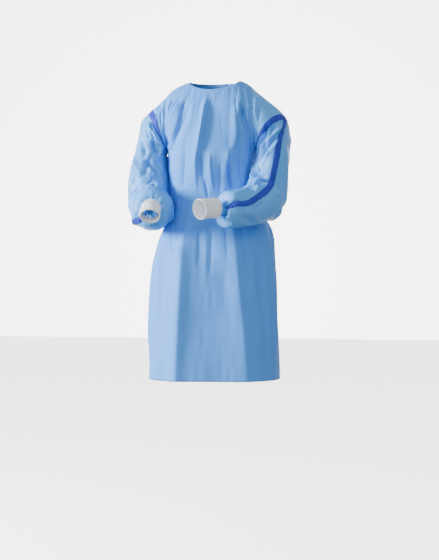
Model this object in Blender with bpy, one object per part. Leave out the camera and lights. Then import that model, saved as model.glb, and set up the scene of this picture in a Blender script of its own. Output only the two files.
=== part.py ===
"""Disposable isolation gown, worn and hollow, arms folded in front.

Metres, +Z up, the front faces -Y and the wearer's left is +X. The origin is the middle of the shoulders
at the base of the neck. Every cloth piece is a thin wall between an outer and an inner grid of points.
The torso's grids follow rings round the body and the sleeves' grids follow rings along each arm, so
pieces that are sewn together share the points of their seam and stand SEAM_GAP apart.
"""

import math

import bpy
import numpy as np

# Cloth
WALL = 0.0015
KNIT_WALL = 0.0021
TAPE_WALL = 0.0009
TAPE_WIDTH = 0.016
SEAM_GAP = 0.0003
SURFACE_GAP = 0.0003

# Torso: heights and the places of seams round the body, in degrees from the centre front
ARMPIT_Z = -0.195
HEM_Z = -0.900
CENTRE_X = -0.007
SIDE_SEAM = 90.0
NECK_SIDE = 65.0
SQUARENESS = 2.4
NECK_HALF_WIDTH = 0.079
NECK_FRONT_Y = -0.076
NECK_BACK_Y = 0.062
NECK_SIDE_Z = 0.019
NECK_FRONT_Z = -0.014
NECK_BACK_Z = 0.020
CHEST_CURVE = 1.6

# Centre back: how far each back panel passes the middle, and how the outer one rises over the other
LAP = 9.0
LAP_RAMP_START = 152.0
LAP_RAMP_END = 169.0
LAP_RISE = WALL + 0.0012

# Grid sizes
ARMHOLE_STEPS = 11
SLEEVE_COLUMNS = 2 * ARMHOLE_STEPS
SHOULDER_CELLS = 4
FRONT_HALF_CELLS = 12
BACK_HALF_CELLS = 7
LAP_CELLS = 2

# Torso sections: height, half widths to the left and right, how far the front and back reach, and
# how far behind the origin the section is widest
TORSO_SECTIONS = (
    (-0.195, 0.1350, 0.1370, 0.118, 0.106, 0.000),
    (-0.235, 0.1270, 0.1390, 0.116, 0.106, 0.000),
    (-0.275, 0.1190, 0.1380, 0.108, 0.103, 0.000),
    (-0.320, 0.1160, 0.1350, 0.096, 0.099, 0.004),
    (-0.350, 0.1180, 0.1330, 0.090, 0.099, 0.010),
    (-0.385, 0.1380, 0.1400, 0.089, 0.106, 0.022),
    (-0.425, 0.1660, 0.1600, 0.099, 0.119, 0.034),
    (-0.470, 0.1800, 0.1750, 0.119, 0.131, 0.022),
    (-0.540, 0.1870, 0.1830, 0.137, 0.140, 0.006),
    (-0.640, 0.1950, 0.1890, 0.149, 0.147, 0.000),
    (-0.770, 0.2010, 0.1940, 0.156, 0.151, 0.000),
    (-0.900, 0.2035, 0.1980, 0.161, 0.154, 0.000),
)
# Heights of the rows of points below the armhole; the waist ties lie on three of them
TORSO_ROWS = (
    -0.195, -0.213, -0.235, -0.260, -0.285, -0.313, -0.341, -0.352, -0.363, -0.386, -0.414,
    -0.445, -0.480, -0.525, -0.580, -0.645, -0.715, -0.785, -0.850, -0.900,
)  # fmt: skip

# A fold fades in and out over this share of its length, and its width is read at this share
FOLD_FADE = 0.3
FOLD_BREADTH = 0.55
TORSO_RADIUS = 0.150

# Soft folds of the torso: from and to in degrees and height, then width and depth; a trough is negative
TORSO_FOLDS = (
    (0, -0.030, -16, -0.290, 0.026, 0.008),
    (4, -0.050, -7, -0.300, 0.020, -0.008),
    (-27, -0.045, -62, -0.240, 0.028, -0.009),
    (-50, -0.030, -76, -0.100, 0.018, -0.005),
    (57, -0.020, 31, -0.240, 0.024, 0.009),
    (31, -0.225, 37, -0.330, 0.014, -0.008),
    (58, -0.050, 79, -0.175, 0.016, -0.007),
    (-15, -0.400, -21, -0.900, 0.030, 0.014),
    (-9, -0.400, -13, -0.860, 0.026, -0.012),
    (-2, -0.400, -3, -0.720, 0.026, 0.009),
    (12, -0.400, 15, -0.800, 0.046, -0.012),
    (28, -0.400, 44, -0.900, 0.036, 0.016),
    (56, -0.420, 60, -0.800, 0.036, -0.010),
    (-27, -0.430, -29, -0.520, 0.018, -0.008),
    (-40, -0.430, -47, -0.850, 0.034, -0.008),
    (-70, -0.440, -72, -0.860, 0.036, 0.009),
    (78, -0.430, 80, -0.860, 0.034, 0.008),
    (112, -0.420, 116, -0.900, 0.036, -0.010),
    (134, -0.400, 140, -0.860, 0.034, 0.013),
    (-118, -0.410, -120, -0.880, 0.036, 0.012),
    (-140, -0.420, -146, -0.860, 0.032, -0.012),
    (125, -0.060, 140, -0.320, 0.028, 0.008),
    (-122, -0.060, -138, -0.300, 0.028, -0.008),
)

# Sleeve sections, from the armhole to the wrist: the innermost and outermost points, the half depth
# across them, how far the ring's sides bow along the arm, and the place of the long tape in degrees
# from the outermost point towards the front
SLEEVE_SECTIONS = {
    "left": (
        (0.128, 0.000, -0.195, 0.118, 0.000, -0.006, 0.078, 0.006, 0),
        (0.134, 0.000, -0.1975, 0.184, -0.004, -0.061, 0.079, 0.002, 0),
        (0.1385, -0.003, -0.202, 0.2165, -0.008, -0.098, 0.077, -0.002, 4),
        (0.1405, -0.012, -0.211, 0.230, -0.012, -0.150, 0.073, -0.001, 34),
        (0.133, -0.032, -0.227, 0.2325, -0.018, -0.208, 0.068, 0.000, 66),
        (0.124, -0.058, -0.264, 0.228, -0.022, -0.275, 0.062, 0.000, 87),
        (0.120, -0.079, -0.295, 0.220, -0.012, -0.335, 0.059, 0.000, 104),
        (0.122, -0.096, -0.303, 0.211, -0.028, -0.379, 0.058, 0.000, 111),
        (0.1235, -0.118, -0.309, 0.183, -0.072, -0.413, 0.057, 0.000, 115),
        (0.1165, -0.137, -0.3185, 0.136, -0.123, -0.433, 0.055, 0.000, 114),
        (0.0965, -0.173, -0.328, 0.0985, -0.173, -0.4405, 0.052, 0.000, 105),
        (0.0745, -0.202, -0.3335, 0.0705, -0.206, -0.444, 0.050, 0.000, 108),
        (0.0595, -0.221, -0.342, 0.0575, -0.223, -0.434, 0.043, 0.000, 100),
        (0.0500, -0.231, -0.358, 0.0500, -0.231, -0.412, 0.028, 0.000, 92),
    ),
    "right": (
        (-0.144, 0.000, -0.195, -0.136, 0.000, -0.006, 0.078, 0.004, 0),
        (-0.1505, 0.000, -0.1975, -0.176, -0.003, -0.046, 0.079, 0.002, 0),
        (-0.1550, -0.002, -0.201, -0.206, -0.006, -0.071, 0.078, -0.003, 4),
        (-0.156, -0.006, -0.205, -0.233, -0.010, -0.104, 0.076, -0.004, 8),
        (-0.155, -0.016, -0.213, -0.243, -0.012, -0.157, 0.072, 0.000, 10),
        (-0.154, -0.034, -0.236, -0.250, -0.014, -0.217, 0.068, 0.000, 16),
        (-0.154, -0.060, -0.270, -0.256, -0.008, -0.282, 0.064, 0.000, 40),
        (-0.168, -0.088, -0.299, -0.244, 0.008, -0.346, 0.061, 0.000, 58),
        (-0.172, -0.101, -0.308, -0.228, 0.006, -0.404, 0.061, 0.000, 58),
        (-0.169, -0.113, -0.312, -0.206, -0.042, -0.436, 0.065, 0.000, 55),
        (-0.163, -0.134, -0.316, -0.182, -0.108, -0.444, 0.066, 0.000, 52),
        (-0.158, -0.165, -0.321, -0.168, -0.152, -0.443, 0.061, 0.000, 50),
        (-0.153, -0.192, -0.329, -0.158, -0.187, -0.437, 0.052, 0.000, 50),
        (-0.150, -0.212, -0.342, -0.151, -0.213, -0.425, 0.042, 0.000, 50),
        (-0.148, -0.225, -0.357, -0.147, -0.229, -0.411, 0.027, 0.000, 50),
    ),
}
CAP_SEAM = 2.0
TAPE_MOST_SECTIONS = 0.40
CAP_RINGS = (0.0, 0.28, 0.56, 0.84, 1.12, 1.40)
SLEEVE_FIRST_RING = CAP_SEAM + 0.62
TAPE_PROBE = 0.1
ELBOW_ROW = {"left": 7.0, "right": 8.0}

# Crisp creases of the sleeves: from and to in sections and degrees, then width and depth
SLEEVE_FOLDS = {
    "left": (
        (2.3, 70, 4.9, 140, 0.014, -0.006),
        (2.2, 48, 5.4, 135, 0.016, -0.007),
        (2.5, 58, 5.0, 125, 0.012, 0.005),
        (4.6, 150, 6.3, 148, 0.012, -0.005),
        (5.0, 128, 6.2, 138, 0.012, 0.005),
        (6.2, 150, 6.9, 100, 0.016, -0.003),
        (7.6, 150, 9.2, 128, 0.014, 0.005),
        (9.4, 122, 12.0, 112, 0.013, -0.005),
        (11.4, 40, 12.7, 75, 0.012, 0.005),
        (0.3, 20, 1.9, 40, 0.016, -0.004),
        (3.0, -60, 5.0, -110, 0.018, -0.006),
        (5.2, -40, 6.6, -120, 0.018, -0.007),
        (8.6, -50, 11.0, -90, 0.016, 0.005),
        (3.4, -20, 6.6, -30, 0.022, 0.004),
    ),
    "right": (
        (3.2, 20, 5.2, 110, 0.016, -0.007),
        (2.4, 60, 4.2, 120, 0.014, -0.006),
        (3.6, 30, 4.6, 100, 0.012, 0.006),
        (5.4, 40, 6.8, 120, 0.016, -0.008),
        (5.0, 48, 6.4, 128, 0.012, 0.005),
        (4.4, 118, 6.6, 128, 0.014, -0.005),
        (7.2, 140, 7.9, 95, 0.016, -0.003),
        (9.5, 140, 11.6, 110, 0.016, 0.005),
        (9.2, 20, 11.4, 35, 0.016, -0.005),
        (0.3, 25, 1.8, 60, 0.016, -0.004),
        (3.0, -60, 5.0, -110, 0.018, -0.006),
        (5.6, -40, 7.4, -120, 0.018, -0.006),
        (9.0, -60, 11.6, -90, 0.016, 0.005),
    ),
}
AXIS_STEP = 0.9
SECTION_LENGTH = 0.045
SLEEVE_RADIUS = 0.060
GATHER_DEPTH = 0.0035
GATHER_SECTIONS = 1.5
GATHER_RINGS = (0.2, 0.42, 0.64, 0.84, 1.0)

# Cuffs: a straight ribbed knit tube from the gathered end of each sleeve
CUFF_LENGTH = 0.062
CUFF_RADIUS = 0.0285
CUFF_RIBS = 22
CUFF_RIB = 0.0007
CUFF_TURN = {"left": (-0.58, -0.80, -0.16), "right": (0.08, -0.62, -0.78)}

# Waist ties and neck tab, at the back
WAIST_Z = -0.352
TIE_HALF_WIDTH = 0.011
TIE_WALL = 0.0012
TIE_FIRST_COLUMN = 1
TIE_END_SHARE = 0.5
TIE_FREE_LENGTH = {"left": 0.30, "right": 0.258}
TIE_STAND_OFF = 0.018
TIE_SWAY = 0.034
KNOT_SIZE = (0.036, 0.013, 0.026)
KNOT_ROUNDING = 0.003
KNOT_CORNER = 0.006
TAB_ROWS = (1, 2)
TAB_REACH = 3

# Colours of the materials: base colour, roughness
MATERIALS = {
    "body_cloth": ((0.36, 0.58, 0.80, 1.0), 0.72),
    "sleeve_film": ((0.38, 0.62, 0.84, 1.0), 0.42),
    "seam_tape": ((0.025, 0.075, 0.36, 1.0), 0.40),
    "cuff_knit": ((0.74, 0.80, 0.86, 1.0), 0.85),
    "tie_cloth": ((0.40, 0.62, 0.82, 1.0), 0.70),
}


def unit(vectors):
    return vectors / np.linalg.norm(vectors, axis=-1, keepdims=True)


def smooth_step(x):
    x = np.clip(x, 0.0, 1.0)
    return x * x * (3.0 - 2.0 * x)


def through_rows(rows, at):
    """Reads the rows of a table at places between them, along a curve through every row."""
    rows = np.asarray(rows, float)
    at = np.asarray(at, float)
    i = np.clip(np.floor(at).astype(int), 0, len(rows) - 2)
    x = (at - i)[..., None]
    before, here = rows[np.clip(i - 1, 0, None)], rows[i]
    after, beyond = rows[i + 1], rows[np.clip(i + 2, None, len(rows) - 1)]
    slope_here, slope_after = (after - before) / 2.0, (beyond - here) / 2.0
    return (
        (2 * x**3 - 3 * x**2 + 1) * here
        + (x**3 - 2 * x**2 + x) * slope_here
        + (3 * x**2 - 2 * x**3) * after
        + (x**3 - x**2) * slope_after
    )


def fold_height(folds, across, along, across_size, along_size):
    """Adds up soft ridges and troughs that fade at both ends."""
    total = np.zeros(np.broadcast(across, along).shape)
    for a0, b0, a1, b1, width, depth in folds:
        run = np.array([(a1 - a0) * across_size, (b1 - b0) * along_size])
        length = math.hypot(*run)
        du = (across - a0) * across_size
        dv = (along - b0) * along_size
        done = (du * run[0] + dv * run[1]) / length
        off = (du * run[1] - dv * run[0]) / length
        fade_run = FOLD_FADE * length
        fade = smooth_step(done / fade_run) * smooth_step((length - done) / fade_run)
        total = total + depth * fade * np.exp(-((off / (FOLD_BREADTH * width)) ** 2))
    return total


def surface_normal(surface, u, v, du, dv):
    """The normal of a surface function, from small steps both ways."""
    across = surface(u + du, v) - surface(u - du, v)
    along = surface(u, v + dv) - surface(u, v - dv)
    return unit(np.cross(across, along))


def sleeve_base(side, section, angle):
    """A point on the plain sleeve, at a section of the table and an angle round the arm in degrees."""
    table = SLEEVE_SECTIONS[side]
    section = np.clip(section, 0.0, len(table) - 1.0)
    row = through_rows(table, section)
    ahead = through_rows(table, np.clip(section + AXIS_STEP, 0.0, len(table) - 1.0))
    behind = through_rows(table, np.clip(section - AXIS_STEP, 0.0, len(table) - 1.0))
    inner, outer, half_depth, bow = row[..., 0:3], row[..., 3:6], row[..., 6:7], row[..., 7:8]
    axis = unit(ahead[..., 0:3] + ahead[..., 3:6] - behind[..., 0:3] - behind[..., 3:6])
    forward = unit(np.cross(axis, outer - inner))
    if side == "right":
        forward = -forward
    begun = smooth_step(np.asarray(section, float) / 1.2)[..., None]
    forward = unit(forward * begun + np.array([0.0, -1.0, 0.0]) * (1.0 - begun))
    sideways = np.array([1.0 if side == "left" else -1.0, 0.0, 0.0])
    axis = unit(axis * begun + sideways * (1.0 - begun))
    turn = np.radians(np.asarray(angle, float))[..., None]
    ring = (outer + inner) / 2.0 + np.cos(turn) * (outer - inner) / 2.0
    return ring + np.sin(turn) * half_depth * forward + np.sin(turn) ** 2 * bow * axis


def sleeve_columns(side, section):
    """Angles of the sleeve's columns: two narrow cells under the long tape and the rest even."""
    section = np.broadcast_to(np.asarray(section, float), (SLEEVE_COLUMNS,))
    tape = through_rows(SLEEVE_SECTIONS[side], section)[:, 8]
    narrow = math.degrees(TAPE_WIDTH / 2.0 / SLEEVE_RADIUS)
    wide = (360.0 - 2.0 * narrow) / (SLEEVE_COLUMNS - 2)
    steps = np.arange(SLEEVE_COLUMNS)
    on_tape = tape + np.where(steps == 0, 0.0, narrow + (steps - 1) * wide)
    share = smooth_step(section / CAP_SEAM)
    return (1.0 - share) * armhole_angles() + share * on_tape


def tape_half_sections(side):
    """Half the round tape's width in sections at each column, less where the sections draw together."""
    angles = sleeve_columns(side, CAP_SEAM)
    before = sleeve_base(side, np.full(SLEEVE_COLUMNS, CAP_SEAM - TAPE_PROBE), angles)
    after = sleeve_base(side, np.full(SLEEVE_COLUMNS, CAP_SEAM + TAPE_PROBE), angles)
    metres_a_section = np.linalg.norm(after - before, axis=-1) / (2.0 * TAPE_PROBE)
    return np.minimum(TAPE_WIDTH / 2.0 / metres_a_section, TAPE_MOST_SECTIONS)


def armhole_angles():
    """Angles of the panels' rows along the armhole, down its front half and up its back half."""
    step = np.arange(ARMHOLE_STEPS + 1) / ARMHOLE_STEPS
    drop = armhole_drop(step)
    down = np.degrees(np.arccos(1.0 - 2.0 * drop))
    return np.concatenate([down, 360.0 - down[-2:0:-1]])


def armhole_drop(step):
    """How far down the armhole a row stands, as a share, for an even count of rows."""
    return 0.4 * step + 0.6 * (1.0 - np.cos(math.pi * step)) / 2.0


def gather_wave(side, section, column):
    """The gathers that draw the sleeve's end in to the cuff: each second column stands out."""
    last = len(SLEEVE_SECTIONS[side]) - 1.0
    place = (section - (last - GATHER_SECTIONS)) / GATHER_SECTIONS
    swell = smooth_step(place / 0.6) * smooth_step((1.0 - place) / 0.25)
    return GATHER_DEPTH * swell * np.where(column % 2 == 0, 0.6, -0.6)


def sleeve_surface(side):
    table_length = len(SLEEVE_SECTIONS[side]) - 1.0

    def plain(section, angle):
        return sleeve_base(side, section, angle)

    def folded(section, angle):
        section, angle = np.broadcast_arrays(np.asarray(section, float), np.asarray(angle, float))
        inside = np.clip(section, 0.03, table_length - 0.03)
        normal = surface_normal(plain, inside, angle, 0.02, 0.5)
        if side == "left":
            normal = -normal
        height = np.zeros(section.shape)
        for turn in (-360.0, 0.0, 360.0):
            height = height + fold_height(
                SLEEVE_FOLDS[side],
                angle + turn,
                section,
                math.radians(SLEEVE_RADIUS),
                SECTION_LENGTH,
            )
        edge = smooth_step(section / 0.5) * smooth_step((table_length - section) / 0.6)
        return plain(section, angle) + normal * (height * edge)[..., None]

    return folded


def squircle(angle):
    """The sideways and forward shares of a rounded square's point at an angle from the front."""
    turn = np.radians(np.asarray(angle, float))
    sine, cosine = np.sin(turn), np.cos(turn)
    reach = (np.abs(sine) ** SQUARENESS + np.abs(cosine) ** SQUARENESS) ** (-1.0 / SQUARENESS)
    return reach * sine, reach * cosine


def torso_ring(angle, height):
    """A point on the plain torso below the armholes."""
    rows = np.array(TORSO_SECTIONS)[::-1]
    row = through_rows(rows, np.interp(height, rows[:, 0], np.arange(len(rows))))
    aside, ahead = squircle(angle)
    half_width = np.where(aside > 0.0, row[..., 1], row[..., 2])
    widest = row[..., 5]
    depth = np.where(ahead > 0.0, row[..., 3] + widest, row[..., 4] - widest)
    x = CENTRE_X + half_width * aside
    y = widest - depth * ahead
    return np.stack(np.broadcast_arrays(x, y, np.asarray(height, float)), axis=-1)


def wrapped(angle):
    """Degrees from the centre front, from -180 to 180."""
    return (np.asarray(angle, float) + 180.0) % 360.0 - 180.0


def torso_top(angle):
    """A point on the top edge: a shoulder seam or the neckline."""
    angle = wrapped(angle)
    size = np.abs(angle)
    side = np.where(angle < 0.0, -1.0, 1.0)
    from_side = np.abs(size - SIDE_SEAM)
    along = np.clip(from_side / (SIDE_SEAM - NECK_SIDE), 0.0, 1.0)
    left_tip = sleeve_base("left", np.array(0.0), np.array(0.0))
    right_tip = sleeve_base("right", np.array(0.0), np.array(0.0))
    tip = np.where((side > 0.0)[..., None], left_tip, right_tip)
    neck = np.stack(
        np.broadcast_arrays(side * NECK_HALF_WIDTH, 0.0, NECK_SIDE_Z), axis=-1
    )
    shoulder = tip + (neck - tip) * along[..., None]
    shoulder[..., 2] += 0.003 * np.sin(along * math.pi)
    front = size < SIDE_SEAM
    span = np.where(front, NECK_SIDE - size, size - (180.0 - NECK_SIDE)) / NECK_SIDE
    turn = np.clip(span, 0.0, 1.0) * math.pi / 2.0
    depth = np.where(front, NECK_FRONT_Y, NECK_BACK_Y)
    low = np.where(front, NECK_FRONT_Z, NECK_BACK_Z)
    neckline = np.stack(
        [
            side * NECK_HALF_WIDTH * np.cos(turn),
            depth * np.sin(turn),
            NECK_SIDE_Z + (low - NECK_SIDE_Z) * np.sin(turn) ** 1.5,
        ],
        axis=-1,
    )
    return np.where((from_side < SIDE_SEAM - NECK_SIDE)[..., None], shoulder, neckline)


def torso_upper(angle, drop):
    """A point on the plain torso between its top edge and the armpits, on a row from edge to edge."""
    angle, drop = np.broadcast_arrays(wrapped(angle), np.asarray(drop, float))
    size = np.abs(angle)
    front = size <= SIDE_SEAM
    top = torso_top(angle)
    zero = np.zeros(angle.shape)
    tip_left, tip_right = sleeve_base("left", zero, zero), sleeve_base("right", zero, zero)
    turn = np.degrees(np.arccos(np.clip(1.0 - 2.0 * drop, -1.0, 1.0)))
    turn = np.where(front, turn, 360.0 - turn)
    edge_left, edge_right = sleeve_base("left", zero, turn), sleeve_base("right", zero, turn)
    on_left = angle > 0.0
    tip_x = np.where(on_left, tip_left[..., 0], tip_right[..., 0])
    edge_x = np.where(on_left, edge_left[..., 0], edge_right[..., 0])
    aside, ahead = squircle(angle)
    aside, ahead = np.abs(aside), np.abs(ahead)
    corner = smooth_step((drop - 0.5) / 0.5)
    turned = 1.0 - np.abs(SIDE_SEAM - size) / SIDE_SEAM
    chest_aside = turned * (1.25 - 0.25 * turned**2)
    aside = corner * aside + (1.0 - corner) * chest_aside
    ahead = corner * ahead + (1.0 - corner) * (1.0 - chest_aside**2.2)
    top_aside = (top[..., 0] - CENTRE_X) / (tip_x - CENTRE_X)
    top_ahead = top[..., 1] / np.where(front, NECK_FRONT_Y, NECK_BACK_Y)
    begun = smooth_step(drop / 0.40)
    aside = begun * aside + (1.0 - begun) * top_aside
    ahead = begun * ahead + (1.0 - begun) * top_ahead
    run = 1.0 - (1.0 - drop) ** CHEST_CURVE
    last = torso_ring(np.where(front, 0.0, 180.0), np.full(size.shape, ARMPIT_Z))[..., 1]
    first = np.where(front, NECK_FRONT_Y, NECK_BACK_Y)
    middle_y = first + (last - first) * run
    share = np.clip(0.5 + 0.5 * np.where(on_left, aside, -aside), 0.0, 1.0)
    edge_y = edge_right[..., 1] * (1.0 - share) + edge_left[..., 1] * share
    x = CENTRE_X + (edge_x - CENTRE_X) * aside
    y = edge_y + (middle_y - edge_y) * ahead
    z = top[..., 2] + (ARMPIT_Z - top[..., 2]) * drop
    return np.stack([x, y, z], axis=-1)


def torso_plain(angle, level):
    """A point on the plain torso; level is 0 at the top edge, 1 at the armpits and 2 at the hem."""
    angle, level = np.broadcast_arrays(np.asarray(angle, float), np.asarray(level, float))
    upper = torso_upper(angle, np.clip(level, 0.0, 1.0))
    height = ARMPIT_Z + np.clip(level - 1.0, 0.0, 1.2) * (HEM_Z - ARMPIT_Z)
    return np.where((level < 1.0)[..., None], upper, torso_ring(angle, height))


def torso_surface(angle, level):
    """The torso with its folds."""
    angle, level = np.broadcast_arrays(np.asarray(angle, float), np.asarray(level, float))
    plain = torso_plain(angle, level)
    size = np.abs(wrapped(angle))
    inside = np.where(
        np.abs(size - SIDE_SEAM) < 1.5,
        angle + np.where((size < SIDE_SEAM) == (wrapped(angle) > 0.0), -1.5, 1.5),
        angle,
    )
    normal = surface_normal(torso_plain, inside, np.clip(level, 0.02, 2.0), 0.6, 0.01)
    height = np.zeros(angle.shape)
    for turn in (-360.0, 0.0, 360.0):
        height = height + fold_height(
            TORSO_FOLDS, wrapped(angle) + turn, plain[..., 2], math.radians(TORSO_RADIUS), 1.0
        )
    upper_edge = smooth_step((SIDE_SEAM - 4.0 - size) / 12.0) + smooth_step(
        (size - SIDE_SEAM - 4.0) / 12.0
    )
    shoulder = np.where(level < 1.0, upper_edge, 1.0 - (1.0 - upper_edge) * np.exp(
        -(level - 1.0) / 0.05))
    top = smooth_step(level / 0.25)
    return plain - normal * (height * shoulder * top)[..., None]


def torso_levels():
    upper = armhole_drop(np.arange(ARMHOLE_STEPS) / ARMHOLE_STEPS)
    lower = 1.0 + (np.array(TORSO_ROWS) - ARMPIT_Z) / (HEM_Z - ARMPIT_Z)
    return np.concatenate([upper, lower])


def panel_grid(angles):
    """The middle points and normals of a torso panel, a row for each level and a column for each angle."""
    levels = torso_levels()
    angle, level = np.meshgrid(angles, levels)
    points = torso_surface(angle, level)
    outward = -1.0 if angles[-1] > angles[0] else 1.0
    return points, outward * grid_normals(points, False)


def grid_normals(points, closed):
    """The normals of a grid's own faces, averaged at each point."""
    after = np.roll(points, -1, axis=1) if closed else points[:, 1:]
    here = points if closed else points[:, :-1]
    faces = np.cross(after[1:] - here[:-1], here[1:] - after[:-1])
    normals = np.zeros(points.shape)
    corners = faces.shape[1]
    for shift in (0, 1):
        columns = (np.arange(corners) + shift) % points.shape[1]
        normals[:-1, columns] += faces
        normals[1:, columns] += faces
    return unit(normals)


def join_normals(first, second):
    """One normal for both sides of a seam, long enough to keep both walls' thickness."""
    middle = unit(first + second)
    spread = np.clip(np.sum(middle * first, axis=-1, keepdims=True), 0.50, 1.0)
    return middle / spread


def pull_back(points, first=False, last=False, left=False, right=False):
    """Moves a panel's sewn edges back by half the seam's gap."""
    moved = points.copy()
    half = SEAM_GAP / 2.0 + 0.00002
    if first:
        moved[0] += unit(points[1] - points[0]) * half
    if last:
        moved[-1] += unit(points[-2] - points[-1]) * half
    if left:
        moved[:, 0] += unit(points[:, 1] - points[:, 0]) * half
    if right:
        moved[:, -1] += unit(points[:, -2] - points[:, -1]) * half
    return moved


def wall_faces(rows, columns, closed):
    """Triangles of a wall: the outer grid, the inner grid behind it, and the rim between them."""
    count = rows * columns
    faces = []
    across = columns if closed else columns - 1

    def at(row, column):
        return row * columns + column % columns

    for row in range(rows - 1):
        for column in range(across):
            a, b = at(row, column), at(row, column + 1)
            c, d = at(row + 1, column + 1), at(row + 1, column)
            faces += [(a, b, c), (a, c, d)]
            faces += [(count + c, count + b, count + a), (count + d, count + c, count + a)]
    for column in range(across):
        for row, turned in ((0, False), (rows - 1, True)):
            a, b = at(row, column), at(row, column + 1)
            rim = [(b, a, count + a), (b, count + a, count + b)]
            faces += [face[::-1] for face in rim] if turned else rim
    if not closed:
        for row in range(rows - 1):
            for column, turned in ((0, True), (columns - 1, False)):
                a, b = at(row, column), at(row + 1, column)
                rim = [(b, a, count + a), (b, count + a, count + b)]
                faces += [face[::-1] for face in rim] if turned else rim
    return faces


def signed_volume(points, faces):
    corners = points[np.array(faces)]
    return float(np.sum(np.cross(corners[:, 0], corners[:, 1]) * corners[:, 2]) / 6.0)


def add_mesh(collection, name, points, faces, material):
    """A mesh object with its faces pointing out."""
    points = np.asarray(points, float)
    if signed_volume(points, faces) < 0.0:
        faces = [face[::-1] for face in faces]
    mesh = bpy.data.meshes.new(name)
    mesh.from_pydata([tuple(point) for point in points], [], faces)
    mesh.materials.append(bpy.data.materials[material])
    mesh.shade_smooth()
    mesh.set_sharp_from_angle(angle=math.radians(50.0))
    mesh.update()
    thing = bpy.data.objects.new(name, mesh)
    collection.objects.link(thing)
    return thing


def add_wall(collection, name, points, normals, material, thickness, lift=0.0, closed=False):
    """A cloth wall about a grid of middle points, or lifted off it by some distance."""
    rows, columns = points.shape[:2]
    outer = points + normals * (lift + thickness / 2.0)
    inner = points + normals * (lift - thickness / 2.0)
    both = np.concatenate([outer.reshape(-1, 3), inner.reshape(-1, 3)])
    return add_mesh(collection, name, both, wall_faces(rows, columns, closed), material)


def make_materials():
    for name, (colour, roughness) in MATERIALS.items():
        material = bpy.data.materials.get(name) or bpy.data.materials.new(name)
        material.use_nodes = True
        shader = material.node_tree.nodes["Principled BSDF"]
        shader.inputs["Base Color"].default_value = colour
        shader.inputs["Roughness"].default_value = roughness
        shader.inputs["Metallic"].default_value = 0.0
        material.diffuse_color = colour


def shoulder_angles():
    return np.linspace(NECK_SIDE, SIDE_SEAM, SHOULDER_CELLS + 1)


def front_angles():
    half = np.concatenate([np.linspace(0.0, NECK_SIDE, FRONT_HALF_CELLS + 1)[:-1], shoulder_angles()])
    return np.concatenate([-half[:0:-1], half])


def back_angles():
    """Degrees from the left side seam round to the lapped edge past the centre back."""
    neck = np.linspace(180.0 - NECK_SIDE, 180.0, BACK_HALF_CELLS + 1)
    lap = np.linspace(180.0, 180.0 + LAP, LAP_CELLS + 1)[1:]
    start = (180.0 - shoulder_angles())[::-1]
    return np.maximum(np.concatenate([start, neck[1:], lap]), SIDE_SEAM + 0.00001)


def sleeve_grid(side, sections):
    """The middle points and normals of a sleeve piece, a row for each ring."""
    surface = sleeve_surface(side)
    section = np.array([np.broadcast_to(ring, (SLEEVE_COLUMNS,)) for ring in sections])
    angles = np.array([sleeve_columns(side, ring) for ring in section])
    last = len(SLEEVE_SECTIONS[side]) - 1.0
    points = surface(section, angles)
    outward = 1.0 if side == "left" else -1.0
    normals = outward * grid_normals(points, True)
    columns = np.broadcast_to(np.arange(SLEEVE_COLUMNS), section.shape)
    wave = gather_wave(side, section, columns)
    points = points + normals * wave[..., None]
    normals = outward * grid_normals(points, True)
    if section[-1, 0] == last:
        spokes = points[-1] - points[-1].mean(axis=0)
        axis = unit(np.cross(spokes[0], spokes[SLEEVE_COLUMNS // 4]))
        normals[-1] = unit(normals[-1] - np.sum(normals[-1] * axis, axis=-1, keepdims=True) * axis)
    return points, normals


def sleeve_sections(side):
    """Rings of the sleeve below the cap, closer at the elbow and at the gathers."""
    last = len(SLEEVE_SECTIONS[side]) - 1.0
    elbow = ELBOW_ROW[side]
    upper = np.linspace(SLEEVE_FIRST_RING, elbow - 1.5, 6)
    bend = np.linspace(elbow - 1.0, elbow + 1.5, 6)
    fore = np.linspace(elbow + 2.0, last - GATHER_SECTIONS, 4)
    gather = last - GATHER_SECTIONS * (1.0 - np.array(GATHER_RINGS))
    start = [CAP_SEAM, CAP_SEAM + tape_half_sections(side)]
    return start + list(upper) + list(bend) + list(fore) + list(gather)


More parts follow.
